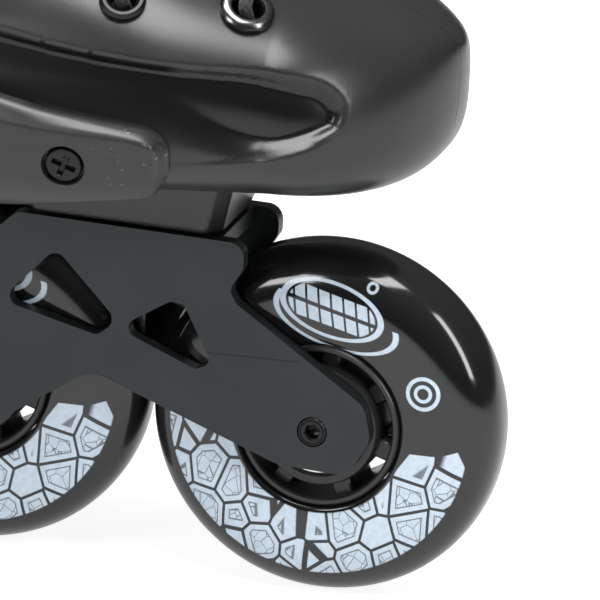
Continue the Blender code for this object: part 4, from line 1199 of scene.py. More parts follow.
@dataclass
class Frame:
    """The milled aluminium channel with its two mounting decks."""

    finishes: Finishes
    front_top: float = 81.0
    rear_top: float = 91.0
    deck: float = 4.0
    front_mount: float = 82.0
    rear_mount: float = -83.0
    edge: float = 0.42
    steps: int = 10

    def outline(self) -> Outline:
        """Side view, from the front deck's rear end."""
        front, rear = self.front_top, self.rear_top
        return rounded([
            (51, front, 3), (103.5, front, 3.5), (103.5, 75, 2.5), (100.6, 70, 2.5), (102.5, 67, 2.0),
            (133, 47.6, 5.0), (135, 40, 5.0), (130, 31, 5), (114, 31.4, 12), (70, 46.8, 8), (50, 32.5, 8),
            (31, 32.5, 8), (0, 50, 10), (-31, 32.5, 8), (-50, 32.5, 8), (-70, 46.8, 8), (-114, 31.4, 12),
            (-130, 31, 5), (-135, 40, 5.0), (-133, 47.6, 5.0), (-104, 71, 3), (-101, 77, 2.5),
            (-105, 83, 2.5), (-105, rear, 3.5), (-56, rear, 3), (-44, 74, 6), (0, 66, 20), (42, 72, 6),
        ], self.steps)

    def windows(self) -> list[Outline]:
        """Lightening holes through both side plates."""
        corners = [
            [(60.5, 73.8, 2.6), (75.6, 59, 2.8), (71, 55.2, 2.4), (48.4, 60.2, 2.4)],
            [(87.4, 65.4, 1.6), (90.6, 65.0, 1.6), (97.6, 52.4, 1.8), (94, 50.6, 1.8), (75.6, 57.6, 2.2)],
            [(12, 61.5, 2.4), (40, 66.0, 2.6), (36, 56.5, 2.6), (16, 54.5, 2.4)],
            [(-12, 61.5, 2.4), (-40, 67, 2.6), (-36, 56.5, 2.6), (-16, 54.5, 2.4)],
            [(-60, 84, 2.6), (-74, 62, 2.8), (-70, 56, 2.4), (-48, 62, 2.4)],
            [(-82, 76, 2.2), (-95, 74, 2.2), (-98, 56, 2.2), (-78, 60, 2.2)],
        ]
        return [rounded(window, self.steps) for window in corners]

    def channel(self) -> Outline:
        """Side view of what is taken from between the plates."""
        front, rear = self.front_top - self.deck, self.rear_top - self.deck
        return [(-150, 20), (150, 20), (150, 90), (97.6, 90), (97.6, front), (58, front), (58, 90), (9, 90),
                (9, 58), (-9, 58), (-9, 110), (-58, 110), (-58, rear), (-106, rear), (-106, 110), (-150, 110)]

    def bore(self, x: float, radius: float, low: float, high: float) -> bmesh.types.BMesh:
        """Cutter for a round hole across the frame at a wheel's axle."""
        axle = Matrix.Translation((x, 0, Skate.wheel_radius))
        return moved(tube(((radius, low), (radius, high)), 48), axle)

    def slot(self, x: float, top: float) -> bmesh.types.BMesh:
        """Cutter for a mounting slot."""
        turns = [math.tau * step / 36 for step in range(36)]
        rim = [(x + 4.3 * math.cos(a), 4.3 * math.sin(a) + math.copysign(3.0, math.sin(a))) for a in turns]
        return loft([[Vector((*spot, z)) for spot in rim] for z in (top - 8.0, top + 4.0)])

    def build(self) -> bpy.types.Object:
        """Cuts the frame from one block and rounds its edges."""
        half, inner = Skate.frame_half, Skate.frame_inner_half
        piece = mesh_object("skate_frame", prism(self.outline(), -half, half), self.finishes.frame, 25)
        cut(piece, mesh_object("channel", prism(self.channel(), -inner, inner)))
        holes = [prism(window, -20, 20) for window in self.windows()]
        for x in Skate.wheel_x:
            holes.append(self.bore(x, 3.45, -20, 0))
            holes.append(self.bore(x, 5.25, half - 2.4, 20))
            holes.append(self.bore(x, 3.9, 0.2, half - 2.41))
        holes += [self.slot(self.front_mount, self.front_top), self.slot(self.rear_mount, self.rear_top)]
        cut(piece, mesh_object("holes", merged(holes)))
        arches = [self.bore(x, 41.6, -inner + 0.1, inner - 0.1) for x in Skate.wheel_x]
        cut(piece, mesh_object("arches", merged(arches)))
        bm = bmesh.new()
        bm.from_mesh(piece.data)
        bmesh.ops.remove_doubles(bm, verts=bm.verts, dist=2e-6)
        bmesh.ops.dissolve_limit(bm, angle_limit=math.radians(1.0), verts=bm.verts, edges=bm.edges)
        bm.to_mesh(piece.data)
        bm.free()
        bevel(piece, self.edge, 2, 28)
        repaint(piece, self.finishes.frame)
        self.mounts()
        return place(piece, "boot", "frame_alloy", "frame")

    def mounts(self) -> None:
        """The two mounting bolts with their washers."""
        washer = [(8.0, 0.2), (7.8, 0.0), (4.4, 0.0), (4.2, 0.2), (4.2, 1.2), (8.0, 1.2)]
        for name, x, top, sole in (
            ("front_mount", self.front_mount, self.front_top, 97.5),
            ("rear_mount", self.rear_mount, self.rear_top, 101.0),
        ):
            under = top - self.deck - 0.3
            ring = moved(turned(washer, Vector(), 48), facing(Vector((x, 0, under - 1.2)), Vector((0, 0, 1))))
            piece = mesh_object(f"skate_{name}_washer", ring, self.finishes.steel, 30)
            place(piece, "boot", "black_steel", f"{name}_washer")
            seat = Vector((x, 0, under - 1.5))
            bolt = Fastener.button(3.9, sole - seat.z, 6.3, 3.9, 2.6, Recess.HEX)
            bolt.fix(f"{name}_bolt", f"{name}_bolt", self.finishes.oxide, seat, Vector((0, 0, -1)))


# ---- Shell ---------------------------------------------------------------------------------------


def spread(low: float, high: float, count: int, density: Callable[[float], float]) -> list[float]:
    """Values from low to high that lie closer together where density is greater."""
    fine = np.linspace(low, high, 2001)
    weights = np.array([density(value) for value in fine])
    total = np.concatenate([[0.0], np.cumsum((weights[1:] + weights[:-1]) / 2)])
    return [float(value) for value in np.interp(np.linspace(0, total[-1], count), total, fine)]


@dataclass
class Scoop:
    """The long hollow moulded into each side of the forefoot, deepest under its upper edge."""

    upper: tuple[Pair, ...] = (
        (-8, 141), (10, 139.5), (30, 137), (54, 133.5), (65, 132), (76, 130.9), (89, 130),
        (101, 129.6), (111, 129.4), (119, 128.8), (125, 127), (129, 122.5), (129, 117), (126, 113.4),
    )
    lip: tuple[Pair, ...] = (
        (-10, 112), (40, 106), (74, 105), (90, 105.9), (104, 107.4), (116, 109.8), (125.5, 113.5),
    )
    depth: float = 3.8

    def __post_init__(self) -> None:
        """Rounds the upper edge's run."""
        count = (len(self.upper) - 1) * 4
        self.edge = [tuple(spline(self.upper, k / 4)) for k in range(count + 1)]
        self.floor = [tuple(spline(self.lip, k / 6)) for k in range((len(self.lip) - 1) * 6 + 1)]
        self.outline = [*self.edge, *reversed(self.floor[:-1])]

    def inset(self, x: float, z: float) -> float:
        """How deep the hollow is at a place on the side."""
        if not (-8 < x < 131 and 103 < z < 141) or not inside(self.outline, x, z):
            return 0.0
        low = float(np.interp(x, [p[0] for p in self.floor], [p[1] for p in self.floor]))
        nearest = distance(self.edge, x, z)
        width = 2.2 + 1.6 * smooth_step(104, 120, x)
        run = 19.0 - 14.5 * smooth_step(86, 116, x)
        deep = self.depth * smooth_step(-8, 66, x) * (0.75 + 0.25 * smooth_step(80, 120, x))
        rise = 0.16 * smooth_step(0.0, 1.2, z - low) + 0.84 * smooth_step(0.0, run, z - low)
        return deep * smooth_step(0, width, nearest) * rise


@dataclass
class Shell:
    """The moulded shell with its eyelets, sole blocks and the guard on its outer side."""

    form: BootForm
    finishes: Finishes
    scoop: Scoop = field(default_factory=Scoop)
    wall: float = 3.0
    rows: int = 216
    columns: int = 156
    stay_width: float = 0.40
    hole: float = 4.6

    def relief(self, place_at: float, angle: float, point: Vector) -> float:
        """How far the outer face stands out from the plain form."""
        turn = (angle + math.pi) % math.tau - math.pi
        throat = self.form.throat_angle(place_at)
        stay = 0.8 * (1 - smooth_step(self.stay_width, self.stay_width + 0.07, abs(turn) - throat))
        stay *= smooth_step(1.7, 2.6, place_at)
        hollow = self.scoop.inset(point.x, point.z) * smooth_step(24, 34, abs(point.y))
        heel = smooth_step(6.9, 7.15, place_at) * (1 - smooth_step(9.6, 9.85, place_at))
        heel *= 1 - smooth_step(0.55, 0.62, abs(abs(turn) - math.pi))
        ankle = smooth_step(5.0, 5.2, place_at) * (1 - smooth_step(6.6, 6.8, place_at))
        ankle *= smooth_step(1.75, 1.85, abs(turn)) * (1 - smooth_step(2.35, 2.45, abs(turn)))
        return stay - hollow - 0.9 * heel - 0.9 * ankle

    def build_wall(self) -> bpy.types.Object:
        """The wall as two dense grids, closed round the throat, the ankle and the eyelets."""
        last = self.form.last

        def along(value: float) -> float:
            """How close together the rows lie at a place."""
            if value < -0.2:
                return 5.0
            return 5.5 if value < 2.4 else 1.6

        def round_density(value: float) -> float:
            """How close together the points of a row lie at an angle."""
            away = abs((value + math.pi) % math.tau - math.pi)
            return 2.3 if 0.95 < away < 2.0 and value < math.pi else (1.5 if 0.4 < away < 2.1 else 0.8)

        places = [-math.cos(math.pi / 2 * value) for value in np.linspace(0.035, 0.55, 34)]
        places += spread(places[-1] + 0.01, last, self.rows - len(places), along)
        tip = self.form.point(-1.0, 0.0)
        inside_tip = tip - Vector((self.wall, 0, 0))
        outer, inner, holes = ([[point] * self.columns] for point in (tip, inside_tip, tip))
        joined = sum(1 for at in places if at <= 0)
        places.insert(0, -1.0)
        for at in places[1:]:
            start = self.form.throat_angle(at)
            angles = spread(start, math.tau - start, self.columns, round_density)
            row, back, marks = [], [], []
            for k, angle in enumerate(angles):
                base = self.form.point(at, angle)
                rise = self.relief(at, angle, base)
                rim = min(k, self.columns - 1 - k) if start > 0 else 9
                rolled = (0.9, 0.25, 0.0)[min(rim, 2)] if at > 0.2 else 0.0
                ankle = 0.9 * smooth_step(last - 0.12, last, at)
                row.append(self.form.point(at, angle, rise - rolled - ankle))
                back.append(self.form.point(at, angle, -self.wall - 0.9 + (min(rise, 0.0) + rolled) * 0.4))
                marks.append(base)
            outer.append(row)
            inner.append(back)
            holes.append(marks)
        keep = np.ones((len(outer) - 1, self.columns - 1), dtype=bool)
        for at, angle in self.form.eyelets:
            for side in (1, -1):
                spot = self.form.point(at, side * angle)
                for i in range(len(outer) - 1):
                    if abs(places[i] - at) > 0.5:
                        continue
                    for j in range(self.columns - 1):
                        middle = (holes[i][j] + holes[i + 1][j + 1]) / 2
                        if (middle - spot).length < self.hole:
                            keep[i, j] = False
        wall = double_wall(outer, inner, keep, joined)
        piece = mesh_object("skate_shell", wall, self.finishes.shell, 50, 0.001)
        # The scoop's depth, stored for the shell plastic, which darkens its colour there as painted shade.
        hollow = piece.data.attributes.new("hollow", "FLOAT", "POINT")
        for vertex, mark in zip(piece.data.vertices, hollow.data):
            x, y, z = vertex.co / MM
            if abs(y - Skate.side_shift) > 24:
                mark.value = self.scoop.inset(x, z) / self.scoop.depth
        return place(piece, "boot", "shell_plastic", "shell")

    def build_eyelets(self) -> None:
        """A metal grommet in every lace hole, the front pair larger and brighter."""
        for count, (at, angle) in enumerate(self.form.eyelets):
            bright = count == 0
            big = 6.1 if bright else 5.2
            ring = [(3.05, -5.0), (3.05, 0.9), (3.3, 1.6), (3.9, 2.15), (4.6, 2.2), (big - 0.5, 1.75),
                    (big, 1.15), (big, 0.3), (4.9, 0.2), (4.5, -0.6), (4.3, -4.2), (5.4, -4.5), (5.2, -5.2),
                    (3.4, -5.4)]
            parts = []
            for side in (1, -1):
                here, out, _ = self.form.frame(at, side * angle)
                parts.append(moved(turned(ring, Vector(), 40), facing(here, out)))
            finish = self.finishes.gunmetal if bright else self.finishes.oxide
            piece = mesh_object(f"skate_eyelets_{count + 1}", merged(parts), finish, 30)
            place(piece, "boot", "black_steel", "shell")

    def build_blocks(self) -> bpy.types.Object:
        """The two mounting blocks under the sole."""
        blocks = []
        for low, high, bottom, (back_top, front_top), narrow, wide in (
            (52, 97, 81.3, (92.2, 98.8), 15.0, 24.0), (-108, -58, 91.3, (104.2, 97.9), 15.0, 22.0)
        ):
            rows = []
            for back, front, half, grow in (
                (bottom, bottom, narrow, 0.0), (back_top, front_top, wide, 5.0),
                (back_top + 3, front_top + 3, wide + 1, 5.5),
            ):
                tail, nose, side = low - grow, high + grow, half - 4
                rows.append([Vector(corner) for corner in (
                    (tail + 3, -half, back), (nose - 3, -half, front), (nose, -side, front),
                    (nose, side, front), (nose - 3, half, front), (tail + 3, half, back),
                    (tail, side, back), (tail, -side, back),
                )])
            blocks.append(loft(rows))
        piece = mesh_object("skate_sole_blocks", merged(blocks), self.finishes.hub, 30)
        bevel(piece, 0.9, 3, 20)
        return place(piece, "boot", "shell_plastic", "shell")

    def build_slider(self) -> None:
        """The guard on the outer side, with its two cross-head screws in counterbores."""
        table = [
            (0.785, 1.86, 2.02), (0.80, 1.77, 2.08), (0.84, 1.68, 2.13), (0.93, 1.61, 2.18),
            (1.07, 1.58, 2.21), (1.35, 1.555, 2.25), (1.67, 1.528, 2.29), (2.1, 1.49, 2.34),
            (3.0, 1.48, 2.36), (3.5, 1.56, 2.30),
            (3.58, 1.64, 2.24), (3.62, 1.74, 2.16), (3.63, 1.86, 2.04),
        ]
        rows, steps, columns = [], 96, 36
        for k in range(steps + 1):
            at, low, high = spline(table, (len(table) - 1) * k / steps)
            ends = smooth_step(0.785, 0.88, at) * (1 - smooth_step(3.55, 3.63, at))
            over, under = [], []
            for j in range(columns + 1):
                share = j / columns
                angle = low + (high - low) * share
                rim = min(share, 1 - share) * (high - low) * 44.0
                crown = 2.4 + 1.2 * smooth_step(0, 1.6, rim) + 0.9 * smooth_step(0.0, 5.0, share * 40)
                crown = 0.8 + ends * (crown + 0.5 * math.exp(-((share - 0.16) / 0.09) ** 2))
                over.append(self.form.point(at, angle, crown))
                under.append(self.form.point(at, angle, 0.1 - 3.6 * math.sin(math.pi * share) * ends))
            rows.append([*over, *reversed(under)])
        guard = mesh_object("skate_side_guard", loft(rows), self.finishes.slider, 70)
        screws = []
        for label, at in (("front", 1.54), ("rear", 3.0)):
            seat, out, _ = self.form.frame(at, 1.92, 2.4)
            rod = tube(((4.9, 0.0), (4.9, 9.0)), 48)
            cut(guard, mesh_object("counterbore", moved(rod, facing(seat, out))))
            screws.append((label, seat, out))
        bevel(guard, 0.25, 2, 72)
        repaint(guard, self.finishes.slider)
        place(guard, "boot", "slider_plastic", "side_slider")
        for label, seat, out in screws:
            screw = Fastener.button(1.8, 1.5, 4.2, 2.0, 2.7, Recess.CROSS)
            node = f"side_slider_screw_{label}"
            screw.fix(f"guard_screw_{label}", node, self.finishes.oxide, seat + out * 0.3, out, 0.5)

    def build(self) -> None:
        """Makes the shell and what is fixed to it."""
        self.build_wall()
        self.build_eyelets()
        self.build_blocks()
        self.build_slider()


# ---- Cuff ----------------------------------------------------------------------------------------


@dataclass
class CuffForm:
    """The cuff's inner face as sections, and the half angle of its front opening."""

    table: tuple[tuple[float, ...], ...] = (
        (-147.0, 170, -20, 176, 0.47, 42.0, 41.5, 2.6, 2.8),
        (-146.0, 196, -18, 212, 0.47, 42.5, 42.0, 2.6, 2.8),
        (-141.0, 226, -17, 246, 0.47, 43.5, 43.0, 2.5, 2.6),
        (-134.0, 262, -12, 278, 0.48, 45.5, 45.0, 2.4, 2.4),
        (-123.0, 300, -4, 306, 0.48, 47.5, 47.0, 2.3, 2.3),
        (-117.0, 322, 1, 324, 0.48, 48.5, 48.0, 2.3, 2.3),
    )
    opening: tuple[float, ...] = (1.20, 1.02, 0.72, 0.50, 0.44, 0.52)

    def point(self, place_at: float, angle: float, outset: float = 0.0) -> Vector:
        """Point of the cuff's inner face, moved outwards by outset."""
        return Section.between(self.table, place_at).point(angle, outset)

    def open_angle(self, place_at: float) -> float:
        """Half angle of the front opening."""
        return spline([(a,) for a in self.opening], place_at)[0]


@dataclass
class Cuff:
    """The hinged cuff with its raised rim, recessed back panel and two pivot bolts."""

    form: CuffForm
    finishes: Finishes
    wall: float = 3.0
    rows: int = 112
    columns: int = 150

    def relief(self, at: float, turn: float, start: float) -> float:
        """How far the outer face stands out from the plain form."""
        edge = min((turn - start) * 45.0, at * 27.0, (5.0 - at) * 27.0)
        rim = 0.5 * (1 - smooth_step(5.0, 6.2, edge)) - 0.9 * (1 - smooth_step(0.0, 1.3, edge))
        back = smooth_step(1.0, 1.06, at) * (1 - smooth_step(4.1, 4.16, at))
        back *= 1 - smooth_step(0.52, 0.57, math.pi - turn)
        ribs = 0.35 * (0.5 + 0.5 * math.cos(at * math.tau * 3.0)) * back
        side = smooth_step(1.5, 1.56, at) * (1 - smooth_step(2.7, 2.76, at))
        side *= smooth_step(1.45, 1.5, turn) * (1 - smooth_step(2.15, 2.2, turn))
        return rim - 0.9 * back + ribs - 0.8 * side

    def build(self) -> None:
        """Makes the cuff and its bolts."""
        outer, inner = [], []
        for k in range(self.rows):
            at = 5.0 * k / (self.rows - 1)
            start = self.form.open_angle(at)
            row, back = [], []
            for j in range(self.columns):
                angle = start + (math.tau - 2 * start) * j / (self.columns - 1)
                turn = min(angle, math.tau - angle)
                row.append(self.form.point(at, angle, self.wall + self.relief(at, turn, start)))
                back.append(self.form.point(at, angle, 0.1))
            outer.append(row)
            inner.append(back)
        keep = np.ones((self.rows - 1, self.columns - 1), dtype=bool)
        piece = mesh_object("skate_cuff", double_wall(outer, inner, keep), self.finishes.shell, 45)
        place(piece, "cuff", "shell_plastic", "cuff")
        for side, face, label in ((Side.OUTER, 42.0, "outer_side"), (Side.INNER, 41.5, "inner_side")):
            reach, out = face + self.wall + 0.5, Vector((0, side.value, 0))
            bolt = Fastener.button(5.0, reach - 36.4, 8.0, 2.5, 2.6, Recess.HEX)
            seat, node = Skate.cuff_pivot + out * reach, f"cuff_pivot_bolt_{label}"
            bolt.fix(f"cuff_bolt_{label}", node, self.finishes.gunmetal, seat, out)


# ---- Straps and buckles --------------------------------------------------------------------------


@dataclass(frozen=True)
class Station:
    """One place along a strap: its point, sideways and outward directions."""

    here: Vector
    side: Vector
    out: Vector

    @property
    def ahead(self) -> Vector:
        """The strap's own direction."""
        return self.out.cross(self.side).normalized()

    def at(self, along: float, height: float, across: float) -> Vector:
        """A point beside this one."""
        return self.here + self.ahead * along + self.out * height + self.side * across

    def matrix(self, height: float, across: float = 0.0) -> Matrix:
        """A turned place whose x runs along the strap, y across it and z outwards."""
        turn = Matrix((self.ahead, self.side, self.ahead.cross(self.side))).transposed().to_4x4()
        return Matrix.Translation(self.at(0.0, height, across)) @ turn


def stations(
    point_at: Callable[[float, float, float], Vector], angles: Sequence[float], rise: float
) -> list[Station]:
    """Stations along a band that runs round a form.

    Args:
        point_at: The form's points by angle, rise along it and outset.
        angles: Where the stations are.
        rise: The outset of the band's underside.

    Returns:
        The stations.
    """
    made = []
    for angle in angles:
        here = point_at(angle, 0.0, rise)
        ahead = point_at(angle - 0.02, 0.0, rise) - point_at(angle + 0.02, 0.0, rise)
        beside = point_at(angle, 4.0, rise) - point_at(angle, -4.0, rise)
        out = beside.cross(ahead).normalized()
        if out.dot(point_at(angle, 0.0, rise + 2.0) - here) < 0:
            out = -out
        made.append(Station(here, out.cross(ahead).normalized(), out))
    return made


def swept(path: Sequence[Station], profile: Sequence[Pair]) -> bmesh.types.BMesh:
    """A solid that carries a closed (across, out) profile along stations."""
    return loft([[stop.here + stop.side * u + stop.out * w for u, w in profile] for stop in path])


@dataclass
class Strap:
    """A ladder strap with its ratchet buckle: base, lever and release tab."""

    prefix: str
    carrier: str
    coarse: list[Station]
    fine: list[Station]
    buckle: int
    finishes: Finishes

    def ladder(self) -> None:
        """The ladder strap, its rails swept and its teeth repeated."""
        profile = [(-10, 0.3), (-9.7, 0), (9.7, 0), (10, 0.3), (10, 2.0), (9.6, 2.4), (7.4, 2.4), (7.0, 1.5),
                   (-7.0, 1.5), (-7.4, 2.4), (-9.6, 2.4), (-10, 2.0)]
        piece = mesh_object(f"skate_{self.prefix}_ladder", swept(self.fine, profile), self.finishes.nylon, 35)
        place(piece, self.carrier, "strap_plastic", f"{self.prefix}_ladder_strap")
        tooth, spots = block((1.5, 13.4, 0.9), 0.25), [stop.matrix(1.9) for stop in self.fine[2:-2]]
        teeth = repeat(f"skate_{self.prefix}_ladder_teeth", tooth, spots, self.finishes.nylon)
        place(teeth, self.carrier, "strap_plastic", f"{self.prefix}_ladder_strap")

    def base(self) -> None:
        """The buckle's base with its pins."""
        middle = self.coarse[self.buckle]
        path = self.coarse[self.buckle - 4:self.buckle + 5]
        half = [(12.0, -2.4), (12.6, -1.8), (12.6, 8.4), (12.2, 9.0), (11.3, 9.0), (10.9, 8.6), (10.9, -0.4)]
        profile = [*half, *((-across, out) for across, out in reversed(half))]
        piece = mesh_object(f"skate_{self.prefix}_buckle_base", swept(path, profile), self.finishes.nylon, 30)
        place(piece, self.carrier, "strap_plastic", f"{self.prefix}_buckle_base")
        pins = []
        for along, height in ((-1.0, 7.8), (-10.0, 7.6)):
            for side in (-1, 1):
                pin = Fastener.button(1.2, 1.6, 1.6, 0.7, 0.5, Recess.HEX)
                pins.append(pin.mesh(middle.at(along, height, side * 12.5), middle.side * side))
        piece = mesh_object(f"skate_{self.prefix}_buckle_pins", merged(pins), self.finishes.steel, 30)
        place(piece, self.carrier, "strap_plastic", f"{self.prefix}_buckle_base")

    def moving(self) -> None:
        """The lever and the release tab, each with grip ribs."""
        middle = self.coarse[self.buckle]
        lever = rounded([(-4, 5.9, 0.5), (5, 5.7, 2.0), (12, 7.4, 3.0), (27, 11.0, 0.4), (27, 13.4, 1.0),
                         (14, 12.2, 6.0), (3, 11.4, 3.0), (-4, 9.6, 1.8)], 6)
        tab = rounded([(-20, 6.4, 0.4), (-7, 5.9, 0.5), (-6, 9.0, 1.3), (-13, 9.6, 3.0), (-20, 12.0, 0.6)], 6)
        grips = {"lever": [(18.5 + 1.9 * k, 12.45 + 0.17 * k) for k in range(4)],
                 "release_tab": [(-18.6 + 1.8 * k, 11.5 - 0.62 * k) for k in range(3)]}
        for label, outline in (("lever", lever), ("release_tab", tab)):
            rows = [[middle.at(u, w, v) for u, w in outline] for v in (-9.6, 9.6)]
            piece = mesh_object(f"skate_{self.prefix}_{label}", loft(rows), self.finishes.nylon, 30)
            bevel(piece, 0.5, 2, 50)
            place(piece, f"{self.prefix}_{label}", "strap_plastic", f"{self.prefix}_{label}")
            turn = middle.matrix(0.0).to_3x3().to_4x4()
            spots = [Matrix.Translation(middle.at(u, w, 0.0)) @ turn for u, w in grips[label]]
            grip = block((0.8, 15.0, 0.7), 0.2)
            ribs = repeat(f"skate_{self.prefix}_{label}_ribs", grip, spots, self.finishes.nylon)
            place(ribs, f"{self.prefix}_{label}", "strap_plastic", f"{self.prefix}_{label}")

    def build(self) -> None:
        """Makes the whole strap."""
        self.ladder()
        self.base()
        self.moving()


@dataclass
class Straps:
    """The cuff strap over the shin and the slanting strap over the instep, with its pad."""

    cuff: CuffForm
    finishes: Finishes
    instep: Section = Section((-104.0, 90.0), (0.0, 206.0), 0.52, 49.0, 48.5, 2.5, 2.4)

    def round_cuff(self, angle: float, rise: float, outset: float) -> Vector:
        """The cuff strap's run."""
        return self.cuff.point(3.55 + rise / 34.0, angle, outset)

    def round_instep(self, angle: float, rise: float, outset: float) -> Vector:
        """The instep strap's run."""
        up = (Vector(self.instep.top) - Vector(self.instep.sole)).normalized()
        return self.instep.point(angle, outset) + Vector((-up.y, 0, up.x)) * rise

    def pad(self, path: list[Station]) -> None:
        """The padded wrap under the ladder, crowned between its edges, with a stitch line along each side."""
        shares, edge = [-1 + k / 16 for k in range(33)], -3.1
        profile = [(16.0 * share, edge - 1.2 * (1 - abs(share) ** 3) ** 0.5) for share in shares]
        for share in reversed(shares):
            seam = 0.5 * math.exp(-((abs(share) - 0.8) / 0.05) ** 2)
            profile.append((15.9 * share, edge + 2.5 * (1 - abs(share) ** 3.2) ** 0.5 - seam))
        piece = mesh_object("skate_instep_pad", swept(path, profile), self.finishes.cloth, 60)
        place(piece, "boot", "strap_plastic", "instep_pad")
        spots = [stop.matrix(-1.05, side * 12.8) for stop in path[2:-2] for side in (-1, 1)]
        stitch = block((2.0, 0.55, 0.5), 0.14)
        thread = repeat("skate_instep_pad_stitches", stitch, spots, self.finishes.thread, 0.1)
        place(thread, "boot", "strap_plastic", "instep_pad")

    def build(self) -> None:
        """Makes both straps."""
        coarse = stations(self.round_cuff, [1.55 - 0.075 * k for k in range(42)], 6.0)
        fine = stations(self.round_cuff, [1.55 - 0.0375 * k for k in range(83)], 6.0)
        Strap("cuff", "cuff", coarse, fine, 7, self.finishes).build()
        coarse = stations(self.round_instep, [1.75 - 0.07 * k for k in range(51)], 0.0)
        fine = stations(self.round_instep, [1.61 - 0.035 * k for k in range(63)], 0.0)
        Strap("instep", "boot", coarse, fine, 10, self.finishes).build()
        self.pad(stations(self.round_instep, [0.56 - 0.035 * k for k in range(66)], 0.0))
        for label, index, seat in (("outer_side", 1, 2.8), ("inner_side", 49, 0.2)):
            stop = coarse[index]
            rivet = Fastener.button(4.0, 1.0, 6.4, 3.4, 2.4, Recess.HEX)
            name = f"instep_anchor_{label}"
            rivet.fix(name, name, self.finishes.gunmetal, stop.at(0, seat, 0), stop.out)


# ---- Soft parts ----------------------------------------------------------------------------------


